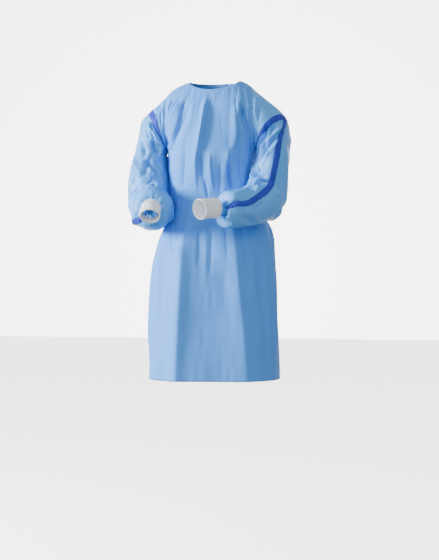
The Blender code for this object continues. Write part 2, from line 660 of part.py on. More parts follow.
def build_torso(collection):
    """The front panel and the two lapped back panels."""
    front_at, back_at = front_angles(), back_angles()
    grids = {
        "front": panel_grid(front_at),
        "back_left": panel_grid(back_at),
        "back_right": panel_grid(-back_at),
    }
    caps = {}
    for side in ("left", "right"):
        rings = list(CAP_RINGS) + [CAP_SEAM - tape_half_sections(side), CAP_SEAM]
        caps[side] = sleeve_grid(side, rings)
    steps = ARMHOLE_STEPS
    for side, front_column in (("left", -1), ("right", 0)):
        cap_points, cap_normals = caps[side]
        front_normals = grids["front"][1]
        back_normals = grids["back_" + side][1]
        down = np.arange(steps + 1)
        up = (-down) % SLEEVE_COLUMNS
        joined_front = join_normals(front_normals[: steps + 1, front_column], cap_normals[0, down])
        joined_back = join_normals(back_normals[: steps + 1, 0], cap_normals[0, up])
        joined_back[0] = joined_front[0]
        joined_back[-1] = joined_front[-1]
        front_normals[: steps + 1, front_column] = joined_front
        back_normals[: steps + 1, 0] = joined_back
        cap_normals[0, down] = joined_front
        cap_normals[0, up] = joined_back
        seam = np.arange(1, SHOULDER_CELLS + 1)
        front_seam = -1 - seam if side == "left" else seam
        shared = join_normals(front_normals[0, front_seam], back_normals[0, seam])
        front_normals[0, front_seam] = shared
        back_normals[0, seam] = shared
        below = slice(steps + 1, None)
        side_shared = unit(front_normals[below, front_column] + back_normals[below, 0])
        front_normals[below, front_column] = side_shared
        back_normals[below, 0] = side_shared
    points, normals = grids["front"]
    cut = pull_back(points, left=True, right=True)
    seam_columns = np.r_[0 : SHOULDER_CELLS + 1, -SHOULDER_CELLS - 1 : 0]
    cut[0, seam_columns] = pull_back(cut[:, seam_columns], first=True)[0]
    add_wall(collection, "front", cut, normals, "body_cloth", WALL)
    backs = {}
    for side in ("left", "right"):
        points, normals = grids["back_" + side]
        cut = pull_back(points, left=True)
        cut[0, : SHOULDER_CELLS + 1] = pull_back(cut[:, : SHOULDER_CELLS + 1], first=True)[0]
        if side == "left":
            rise = LAP_RISE * smooth_step((back_at - LAP_RAMP_START) / (LAP_RAMP_END - LAP_RAMP_START))
            cut = cut + normals * rise[None, :, None]
        add_wall(collection, "back_" + side, cut, normals, "body_cloth", WALL)
        backs[side] = (cut, normals)
    return caps, backs


def build_sleeve(collection, side, cap):
    """The shoulder cap, the sleeve, both tapes on them and the knit cuff."""
    cap_points, cap_normals = cap
    sections = sleeve_sections(side)
    points, normals = sleeve_grid(side, sections)
    shared = unit(cap_normals[-1] + normals[0])
    cap_normals[-1] = shared
    normals[0] = shared
    add_wall(
        collection,
        "shoulder_cap_" + side,
        pull_back(cap_points, first=True, last=True),
        cap_normals,
        "sleeve_film",
        WALL,
        closed=True,
    )
    cut = pull_back(points, first=True, last=True)
    add_wall(collection, "sleeve_" + side, cut, normals, "sleeve_film", WALL, closed=True)
    lift = WALL / 2.0 + SURFACE_GAP + TAPE_WALL / 2.0
    ring = np.stack([cap_points[-2], cap_points[-1], points[1]])
    ring_normals = np.stack([cap_normals[-2], shared, normals[1]])
    add_wall(
        collection,
        "armhole_tape_" + side,
        ring,
        ring_normals,
        "seam_tape",
        TAPE_WALL,
        lift=lift,
        closed=True,
    )
    columns = np.array([-1, 0, 1])
    start = pull_back(points[1:-2][:, columns], first=True)
    add_wall(
        collection,
        "sleeve_tape_" + side,
        start,
        normals[1:-2][:, columns],
        "seam_tape",
        TAPE_WALL,
        lift=lift,
    )
    build_cuff(collection, side, points[-1])


def build_cuff(collection, side, end_ring):
    """A ribbed tube that starts at the sleeve's end and turns to the wrist's direction."""
    centre = end_ring.mean(axis=0)
    first_axis = unit(np.cross(end_ring[4] - centre, end_ring[9] - centre))
    heading = unit(np.array(CUFF_TURN[side]))
    if np.dot(first_axis, heading) < 0.0:
        first_axis = -first_axis
    columns = 2 * CUFF_RIBS
    turn = np.arange(columns) * 2.0 * math.pi / columns
    rows = np.linspace(0.0, 1.0, 5)
    start = unit(end_ring[0] - centre)
    rings, ring_normals = [], []
    where = centre + first_axis * (SEAM_GAP + 0.0002)
    for i, row in enumerate(rows):
        axis = unit(first_axis * (1.0 - row) + heading * row)
        if i:
            where = where + axis * CUFF_LENGTH * (row - rows[i - 1])
        across = unit(start - axis * np.dot(start, axis))
        beside = np.cross(axis, across)
        spokes = np.cos(turn)[:, None] * across + np.sin(turn)[:, None] * beside
        radius = CUFF_RADIUS * (1.0 + 0.035 * math.cos(row * 2.0 * math.pi))
        rings.append(where + spokes * radius)
        ring_normals.append(spokes)
    rings, ring_normals = np.array(rings), np.array(ring_normals)
    rib = np.where(np.arange(columns) % 2 == 0, CUFF_RIB, 0.0)[None, :, None]
    outer = rings + ring_normals * (KNIT_WALL / 2.0 + rib)
    inner = rings - ring_normals * (KNIT_WALL / 2.0)
    both = np.concatenate([outer.reshape(-1, 3), inner.reshape(-1, 3)])
    faces = wall_faces(len(rows), columns, True)
    add_mesh(collection, "cuff_" + side, both, faces, "cuff_knit")


def part_way(grid, rows, column, share):
    """A panel's points and normals on some rows, part of the way from one column to the next."""
    points, normals = grid
    here = points[rows, column] * (1.0 - share) + points[rows, column + 1] * share
    facing = normals[rows, column] * (1.0 - share) + normals[rows, column + 1] * share
    return here, unit(facing)


def build_closures(collection, backs):
    """Waist ties from the side seams to a knot at the centre back, their loose ends, and the neck tab."""
    over_cloth = WALL / 2.0 + SURFACE_GAP + TIE_WALL / 2.0
    waist = ARMHOLE_STEPS + TORSO_ROWS.index(WAIST_Z)
    rows = np.array([waist - 1, waist, waist + 1])
    middle = SHOULDER_CELLS + BACK_HALF_CELLS
    ends = []
    for side in ("left", "right"):
        places = [(column, 0.0) for column in range(TIE_FIRST_COLUMN, middle)]
        places.append((middle - 1, TIE_END_SHARE))
        strip = [part_way(backs[side], rows, column, share) for column, share in places]
        points = np.stack([here for here, facing in strip], axis=1)
        normals = np.stack([facing for here, facing in strip], axis=1)
        lift = np.full(len(places), over_cloth)
        if side == "right":
            lift[-2:] += LAP_RISE + 0.0001
        points = points + normals * lift[None, :, None]
        add_wall(collection, "waist_tie_" + side, points, normals, "tie_cloth", TIE_WALL)
        ends.append(points[:, -2:].reshape(-1, 3))
    under = np.concatenate(ends)
    lean, level_y = np.polyfit(under[:, 2] - WAIST_Z, under[:, 1], 1)
    bulge = np.max(under[:, 1] - lean * (under[:, 2] - WAIST_Z)) - level_y
    knot_y = level_y + bulge + TIE_WALL / 2.0 + SURFACE_GAP + KNOT_SIZE[1] / 2.0
    add_knot(collection, np.array([CENTRE_X, knot_y, WAIST_Z]), lean)
    for side, sign in (("left", 1.0), ("right", -1.0)):
        steps = np.linspace(0.0, 1.0, 9)
        drop = steps * TIE_FREE_LENGTH[side]
        height = WAIST_Z - KNOT_SIZE[2] / 2.0 - SURFACE_GAP - drop
        behind = torso_ring(np.full(height.shape, 180.0), height)[:, 1] + TIE_STAND_OFF
        first = smooth_step(steps / 0.25)
        reach = knot_y * (1.0 - first) + behind * first
        sway = sign * (TIE_HALF_WIDTH * 0.95 + TIE_SWAY * smooth_step(steps * 1.3))
        path = np.stack([CENTRE_X + sway, reach, height], axis=-1)
        across = np.array([0.96, 0.10 * sign, 0.0])
        offsets = TIE_HALF_WIDTH * np.array([-1.0, 0.0, 1.0]) * 0.8
        points = path[:, None, :] + offsets[None, :, None] * across[None, None, :]
        along = np.gradient(path, axis=0)
        along[0] = (0.0, 0.0, -1.0)
        normal = unit(np.cross(np.broadcast_to(across, along.shape), along))
        normals = np.repeat(normal[:, None, :], 3, axis=1)
        add_wall(collection, "tie_end_" + side, points, normals, "tie_cloth", TIE_WALL)
    build_neck_tab(collection, backs)


def add_knot(collection, centre, lean):
    """A flat knot with its edges cut off, a little wider than the ties, leaning as the back does."""
    width, depth, height = np.array(KNOT_SIZE) / 2.0
    levels = (-depth, -depth + KNOT_ROUNDING, depth - KNOT_ROUNDING, depth)
    rings = []
    for level, inset in zip(levels, (KNOT_ROUNDING, 0.0, 0.0, KNOT_ROUNDING)):
        wide, tall = width - inset, height - inset
        corner = KNOT_CORNER
        outline = [
            (-wide + corner, -tall), (wide - corner, -tall), (wide, -tall + corner), (wide, tall - corner),
            (wide - corner, tall), (-wide + corner, tall), (-wide, tall - corner), (-wide, -tall + corner),
        ]  # fmt: skip
        rings.append([(x, level + lean * z, z) for x, z in outline])
    points = np.array(rings).reshape(-1, 3)
    sides = len(rings[0])
    faces = []
    for ring in range(len(rings) - 1):
        for corner in range(sides):
            a, b = ring * sides + corner, ring * sides + (corner + 1) % sides
            faces += [(a, b, b + sides), (a, b + sides, a + sides)]
    top = (len(rings) - 1) * sides
    for corner in range(1, sides - 1):
        faces.append((0, corner + 1, corner))
        faces.append((top, top + corner, top + corner + 1))
    add_mesh(collection, "tie_knot", points + centre, faces, "tie_cloth")


def build_neck_tab(collection, backs):
    """A short tab over the lap at the back of the neck: from the outer panel down to the inner one."""
    rows = np.array(TAB_ROWS)
    middle = SHOULDER_CELLS + BACK_HALF_CELLS
    on_left = range(middle - TAB_REACH, middle + LAP_CELLS + 1)
    on_right = range(middle - 2, middle - TAB_REACH - 1, -1)
    places = [("left", column) for column in on_left] + [("right", column) for column in on_right]
    points = np.stack([backs[side][0][rows, column] for side, column in places], axis=1)
    normals = np.stack([backs[side][1][rows, column] for side, column in places], axis=1)
    rise = WALL / 2.0 + SURFACE_GAP + TIE_WALL / 2.0
    add_wall(collection, "neck_tab", points, normals, "tie_cloth", TIE_WALL, lift=rise)


def build():
    for thing in list(bpy.data.objects):
        bpy.data.objects.remove(thing, do_unlink=True)
    make_materials()
    collection = bpy.data.collections.new("disposable_gown")
    bpy.context.scene.collection.children.link(collection)
    caps, backs = build_torso(collection)
    for side in ("left", "right"):
        build_sleeve(collection, side, caps[side])
    build_closures(collection, backs)


build()
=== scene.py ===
"""Disposable isolation gown, worn and hollow: cloth, film, sealed tapes, knit cuffs and ties.

Metres, +Z up. The front faces -Y and the wearer's left is +X. The origin is between the shoulders.
"""

import math

import bpy
import numpy as np
from bpy.props import FloatProperty, FloatVectorProperty, IntProperty, PointerProperty
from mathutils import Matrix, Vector


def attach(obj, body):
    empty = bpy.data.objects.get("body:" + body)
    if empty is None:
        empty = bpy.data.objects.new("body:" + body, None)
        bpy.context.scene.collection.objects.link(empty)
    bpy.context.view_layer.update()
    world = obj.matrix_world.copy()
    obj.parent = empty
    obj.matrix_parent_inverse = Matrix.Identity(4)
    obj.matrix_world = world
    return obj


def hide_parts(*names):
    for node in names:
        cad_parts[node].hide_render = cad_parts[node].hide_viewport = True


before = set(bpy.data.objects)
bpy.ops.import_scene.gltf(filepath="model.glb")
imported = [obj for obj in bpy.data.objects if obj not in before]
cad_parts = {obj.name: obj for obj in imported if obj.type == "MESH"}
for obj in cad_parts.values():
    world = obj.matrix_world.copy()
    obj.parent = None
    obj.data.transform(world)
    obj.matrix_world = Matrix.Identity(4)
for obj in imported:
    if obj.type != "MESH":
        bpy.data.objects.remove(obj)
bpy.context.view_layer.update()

bl_info = {
    "name": "Disposable gown",
    "version": (1, 0, 0),
    "blender": (4, 5, 0),
    "location": "3D View > Sidebar > Gown",
    "description": "Builds the cloth, tapes, cuffs and ties of a worn disposable gown",
    "category": "Add Mesh",
}

# Torso: heights and the places of seams round the body, in degrees from the centre front
ARMPIT_Z = -0.195
HEM_Z = -0.900
CENTRE_X = -0.007
SIDE_SEAM = 90.0
NECK_SIDE = 65.0
SQUARENESS = 2.4
NECK_HALF_WIDTH = 0.079
NECK_FRONT_Y = -0.076
NECK_BACK_Y = 0.062
NECK_SIDE_Z = 0.019
NECK_FRONT_Z = -0.014
NECK_BACK_Z = 0.020
CHEST_CURVE = 1.6
TORSO_RADIUS = 0.150
JOIN_REACH = 0.055
JOIN_ABOVE = 0.200
JOIN_BELOW = 0.705
JOIN_SHARES = ((-1.0, 0.12), (-0.5, 0.23), (0.0, 0.30), (0.5, 0.23), (1.0, 0.12))
SHOULDER_CROWN = 0.003
TORSO_SLACK = 0.0014
TORSO_FINE_SLACK = 0.0005
ARMHOLE_PUCKER = 0.0030
NECK_PUCKER = 0.0007

# Centre back: how far each back panel passes the middle, and how the outer one rises over the other
LAP = 9.0
LAP_RAMP_START = 152.0
LAP_RAMP_END = 169.0
LAP_RISE = 0.0027

# Torso sections: height, half widths to the left and right, how far the front and back reach, and
# how far behind the origin the section is widest
TORSO_SECTIONS = (
    (-0.195, 0.1350, 0.1370, 0.118, 0.106, 0.000),
    (-0.235, 0.1270, 0.1390, 0.116, 0.106, 0.000),
    (-0.275, 0.1190, 0.1380, 0.108, 0.103, 0.000),
    (-0.320, 0.1160, 0.1350, 0.096, 0.099, 0.004),
    (-0.350, 0.1180, 0.1330, 0.090, 0.099, 0.010),
    (-0.385, 0.1380, 0.1400, 0.089, 0.106, 0.022),
    (-0.425, 0.1660, 0.1600, 0.099, 0.119, 0.034),
    (-0.470, 0.1800, 0.1750, 0.119, 0.131, 0.022),
    (-0.540, 0.1870, 0.1830, 0.137, 0.140, 0.006),
    (-0.640, 0.1950, 0.1890, 0.149, 0.147, 0.000),
    (-0.770, 0.2010, 0.1940, 0.156, 0.151, 0.000),
    (-0.900, 0.2035, 0.1980, 0.161, 0.154, 0.000),
)

# Soft folds of the torso: from and to in degrees and height, then width and depth;
# a trough is negative
TORSO_FOLDS = (
    (0, -0.030, -16, -0.290, 0.026, 0.008),
    (-27, -0.045, -62, -0.240, 0.028, -0.009),
    (-50, -0.030, -76, -0.100, 0.018, -0.005),
    (57, -0.020, 31, -0.240, 0.026, 0.006),
    (31, -0.225, 37, -0.330, 0.014, -0.008),
    (58, -0.050, 79, -0.175, 0.016, -0.007),
    (-21, -0.400, -25, -1.150, 0.036, 0.010),
    (15, -0.390, 23, -1.150, 0.125, -0.013),
    (26, -0.400, 44, -1.150, 0.036, 0.004),
    (56, -0.420, 62, -0.950, 0.040, -0.010),
    (-27, -0.430, -29, -0.520, 0.018, -0.008),
    (-40, -0.430, -47, -0.850, 0.034, -0.008),
    (-70, -0.440, -72, -0.860, 0.036, 0.009),
    (78, -0.430, 80, -0.860, 0.034, 0.008),
    (112, -0.420, 116, -0.900, 0.036, -0.010),
    (134, -0.400, 140, -0.860, 0.034, 0.013),
    (-118, -0.410, -120, -0.880, 0.036, 0.012),
    (-140, -0.420, -146, -0.860, 0.032, -0.012),
    (-99, -0.130, -99, -0.425, 0.038, 0.0155),
    (-99, -0.255, -99, -0.400, 0.036, 0.0050),
    (-56, -0.350, -56, -0.480, 0.040, -0.010),
    (125, -0.060, 140, -0.320, 0.028, 0.008),
    (-122, -0.060, -138, -0.300, 0.028, -0.008),
)

# Crisp creases of the torso: start, middle and end in degrees and height, then width, depth and
# lean, the share by which one flank is wider and the other narrower
TORSO_CREASES = (
    (-73, -0.037, -75, -0.059, -80, -0.084, 0.013, -0.0055, 0.2),
    (-52, -0.042, -62, -0.073, -78, -0.108, 0.013, 0.0055, -0.2),
    (-38, -0.036, -46, -0.095, -50, -0.190, 0.026, -0.0090, -0.3),
    (-23, -0.040, -26, -0.100, -30, -0.190, 0.030, 0.0040, 0.2),
    (-4, -0.012, -6, -0.117, -12, -0.235, 0.032, 0.0085, 0.1),
    (-11, -0.203, -13, -0.255, -14, -0.335, 0.018, 0.0050, 0.2),
    (6, -0.020, 1, -0.129, -5, -0.260, 0.040, -0.0055, -0.6),
    (-8, -0.190, -7, -0.245, -2, -0.305, 0.014, -0.0075, -0.3),
    (-2, -0.285, -1, -0.319, 2, -0.360, 0.010, -0.0060, 0.0),
    (7, -0.203, 6, -0.257, 10, -0.345, 0.018, 0.0055, 0.3),
    (66, -0.016, 50, -0.115, 30, -0.235, 0.022, 0.0035, 0.3),
    (31, -0.190, 29, -0.239, 30, -0.290, 0.016, 0.0055, 0.2),
    (30, -0.225, 33, -0.281, 37, -0.345, 0.014, -0.0095, -0.2),
    (52, -0.036, 50, -0.066, 53, -0.100, 0.012, -0.0045, 0.0),
    (67, -0.045, 64, -0.109, 70, -0.170, 0.014, -0.0080, -0.2),
    (76, -0.068, 74, -0.102, 77, -0.135, 0.010, 0.0040, 0.0),
    (46, -0.173, 50, -0.246, 58, -0.320, 0.024, -0.0060, 0.3),
    (22, -0.234, 20, -0.288, 18, -0.355, 0.018, -0.0045, 0.2),
    (-26, -0.201, -30, -0.267, -34, -0.345, 0.024, -0.0045, 0.2),
    (-41, -0.405, -36, -0.470, -30, -0.535, 0.016, -0.0070, 0.0),
    (-31, -0.405, -25, -0.483, -23, -0.560, 0.018, 0.0050, 0.2),
    (-23, -0.350, -20, -0.640, -26, -1.150, 0.085, 0.0170, 0.2),
    (-10, -0.405, -6, -0.480, -6, -0.580, 0.022, -0.0050, -0.3),
    (-3, -0.405, 1, -0.520, 0, -0.660, 0.024, 0.0030, 0.2),
    (4, -0.405, 6, -0.490, 5, -0.600, 0.018, -0.0045, 0.0),
    (23, -0.380, 31, -0.600, 43, -1.150, 0.060, 0.0070, 0.3),
    (34, -0.405, 38, -0.500, 44, -0.620, 0.022, -0.0035, 0.0),
    (19, -0.405, 20, -0.470, 22, -0.560, 0.018, -0.0035, 0.0),
    (-54, -0.430, -50, -0.600, -48, -0.800, 0.036, 0.0030, 0.2),
    (60, -0.430, 64, -0.600, 66, -0.840, 0.034, 0.0050, 0.2),
    (-60, -0.410, -66, -0.500, -66, -0.620, 0.020, -0.0040, 0.0),
    (84, -0.400, 90, -0.560, 92, -0.790, 0.026, -0.0060, 0.2),
    (-84, -0.400, -92, -0.600, -94, -0.880, 0.026, -0.0055, 0.2),
    (100, -0.390, 104, -0.520, 103, -0.720, 0.024, 0.0060, 0.2),
    (122, -0.375, 126, -0.560, 127, -0.840, 0.026, -0.0065, -0.2),
    (146, -0.372, 151, -0.500, 154, -0.690, 0.020, 0.0060, 0.2),
    (158, -0.372, 161, -0.470, 163, -0.620, 0.018, -0.0050, 0.0),
    (169, -0.375, 171, -0.560, 172, -0.820, 0.022, -0.0040, 0.2),
    (-104, -0.385, -106, -0.540, -109, -0.760, 0.024, -0.0060, -0.2),
    (-128, -0.375, -131, -0.520, -134, -0.800, 0.028, 0.0070, 0.2),
    (-150, -0.372, -155, -0.500, -158, -0.720, 0.020, -0.0055, 0.2),
    (-161, -0.372, -165, -0.450, -168, -0.600, 0.016, 0.0045, 0.0),
    (104, -0.060, 112, -0.150, 110, -0.250, 0.020, -0.0050, 0.2),
    (118, -0.230, 124, -0.290, 134, -0.342, 0.018, 0.0050, 0.0),
    (108, -0.250, 116, -0.300, 124, -0.342, 0.015, -0.0045, 0.2),
    (146, -0.060, 150, -0.160, 156, -0.300, 0.026, -0.0050, -0.2),
    (160, -0.110, 162, -0.200, 166, -0.340, 0.020, 0.0035, 0.2),
    (-105, -0.070, -110, -0.150, -107, -0.230, 0.020, -0.0045, 0.0),
    (-113, -0.220, -121, -0.290, -130, -0.342, 0.018, 0.0050, 0.2),
    (-146, -0.080, -152, -0.180, -158, -0.310, 0.026, -0.0050, -0.2),
    (-138, -0.260, -144, -0.300, -150, -0.342, 0.016, 0.0040, 0.0),
)

# Sleeve sections, from the armhole to the wrist: the innermost and outermost points, the half depth
# across them, how far the ring's sides bow along the arm, and the place of the long tape in degrees
# from the outermost point towards the front
SLEEVE_SECTIONS = {
    "left": (
        (0.128, 0.000, -0.195, 0.118, 0.000, -0.006, 0.078, 0.006, 0),
        (0.134, 0.000, -0.1975, 0.184, -0.004, -0.061, 0.079, 0.002, 0),
        (0.1385, -0.003, -0.202, 0.2165, -0.008, -0.098, 0.077, -0.002, 4),
        (0.1405, -0.012, -0.211, 0.230, -0.012, -0.150, 0.073, -0.001, 34),
        (0.133, -0.032, -0.227, 0.2325, -0.018, -0.208, 0.068, 0.000, 66),
        (0.124, -0.058, -0.264, 0.228, -0.022, -0.275, 0.062, 0.000, 87),
        (0.120, -0.079, -0.295, 0.220, -0.012, -0.335, 0.059, 0.000, 104),
        (0.122, -0.096, -0.303, 0.211, -0.028, -0.379, 0.058, 0.000, 111),
        (0.1235, -0.118, -0.309, 0.183, -0.072, -0.413, 0.057, 0.000, 115),
        (0.1165, -0.137, -0.3185, 0.136, -0.123, -0.433, 0.055, 0.000, 114),
        (0.0965, -0.173, -0.328, 0.0985, -0.173, -0.4405, 0.052, 0.000, 105),
        (0.0745, -0.202, -0.3335, 0.0705, -0.206, -0.444, 0.050, 0.000, 108),
        (0.0595, -0.221, -0.342, 0.0575, -0.223, -0.434, 0.043, 0.000, 100),
        (0.0500, -0.231, -0.358, 0.0500, -0.231, -0.412, 0.028, 0.000, 92),
    ),
    "right": (
        (-0.144, 0.000, -0.195, -0.136, 0.000, -0.006, 0.078, 0.004, 0),
        (-0.1505, 0.000, -0.1975, -0.176, -0.003, -0.046, 0.079, 0.002, 0),
        (-0.1550, -0.002, -0.201, -0.206, -0.006, -0.071, 0.078, -0.003, 4),
        (-0.156, -0.006, -0.205, -0.233, -0.010, -0.104, 0.076, -0.004, 8),
        (-0.155, -0.016, -0.213, -0.243, -0.012, -0.157, 0.072, 0.000, 10),
        (-0.154, -0.034, -0.236, -0.250, -0.014, -0.217, 0.068, 0.000, 16),
        (-0.154, -0.060, -0.270, -0.256, -0.008, -0.282, 0.064, 0.000, 40),
        (-0.168, -0.088, -0.299, -0.244, 0.008, -0.346, 0.061, 0.000, 58),
        (-0.172, -0.101, -0.308, -0.228, 0.006, -0.404, 0.061, 0.000, 58),
        (-0.169, -0.113, -0.312, -0.206, -0.042, -0.436, 0.065, 0.000, 55),
        (-0.163, -0.134, -0.316, -0.182, -0.108, -0.444, 0.066, 0.000, 52),
        (-0.158, -0.165, -0.321, -0.168, -0.152, -0.443, 0.061, 0.000, 50),
        (-0.153, -0.192, -0.329, -0.158, -0.187, -0.437, 0.052, 0.000, 50),
        (-0.150, -0.212, -0.342, -0.151, -0.213, -0.425, 0.042, 0.000, 50),
        (-0.148, -0.225, -0.357, -0.147, -0.229, -0.411, 0.027, 0.000, 50),
    ),
}

# Sleeves: the section of the cap seam, the reach of the arm's direction and of its turn at the
# armhole in sections, and the lengths that stand for a section and for the arm's radius
CAP_SEAM = 2.0
AXIS_STEP = 0.9
TURN_SECTIONS = 1.2
SECTION_LENGTH = 0.045
SLEEVE_RADIUS = 0.060

# Folds and creases: the share of a length that fades, how wide they are for their width, and a
# crease's tip, reach and steps along its curve
FOLD_FADE = 0.3
FOLD_BREADTH = 0.55
CREASE_FADE = 0.35
CREASE_FALL = 0.42
CREASE_TIP = 0.0022
CREASE_REACH = 3.2
CREASE_STEPS = 9

# Crumple of the sleeves in three sizes, each with its waves round the arm, and the seams' puckers
SLEEVE_SEED = {"left": 11, "right": 23}
COARSE_WAVES, COARSE_CRUMPLE = 12, 0.0022
FINE_WAVES, FINE_CRUMPLE = 26, 0.0006
FINEST_WAVES, FINEST_CRUMPLE = 52, 0.0002
PUCKER_WAVES, SLEEVE_PUCKER = 44, 0.0034
SLEEVE_PUCKERS = ((0.0, 0.34), (CAP_SEAM, 0.16))  # section of the seam, reach in sections
CRUMPLE_TABLE = 97

# Broad creases of the sleeves: from and to in sections and degrees, then width and depth
SLEEVE_FOLDS = {
    "left": (
        (2.3, 70, 4.9, 140, 0.014, -0.006),
        (2.2, 48, 5.4, 135, 0.016, -0.007),
        (2.5, 58, 5.0, 125, 0.012, 0.005),
        (4.6, 150, 6.3, 148, 0.012, -0.005),
        (5.0, 128, 6.2, 138, 0.012, 0.005),
        (6.2, 150, 6.9, 100, 0.016, -0.003),
        (7.6, 150, 9.2, 128, 0.014, 0.005),
        (9.4, 122, 12.0, 112, 0.013, -0.005),
        (11.4, 40, 12.7, 75, 0.012, 0.005),
        (0.3, 20, 1.9, 40, 0.016, -0.004),
        (3.0, -60, 5.0, -110, 0.018, -0.006),
        (5.2, -40, 6.6, -120, 0.018, -0.007),
        (8.6, -50, 11.0, -90, 0.016, 0.005),
        (3.4, -20, 6.6, -30, 0.022, 0.004),
    ),
    "right": (
        (3.2, 20, 5.2, 110, 0.016, -0.007),
        (2.4, 60, 4.2, 120, 0.014, -0.006),
        (3.6, 30, 4.6, 100, 0.012, 0.006),
        (5.4, 40, 6.8, 120, 0.016, -0.008),
        (5.0, 48, 6.4, 128, 0.012, 0.005),
        (4.4, 118, 6.6, 128, 0.014, -0.005),
        (7.2, 140, 7.9, 95, 0.016, -0.003),
        (9.5, 140, 11.6, 110, 0.016, 0.005),
        (9.2, 20, 11.4, 35, 0.016, -0.005),
        (0.3, 25, 1.8, 60, 0.016, -0.004),
        (3.0, -60, 5.0, -110, 0.018, -0.006),
        (5.6, -40, 7.4, -120, 0.018, -0.006),
        (9.0, -60, 11.6, -90, 0.016, 0.005),
        (2.8, -146, 5.2, -146, 0.045, 0.0105),
    ),
}

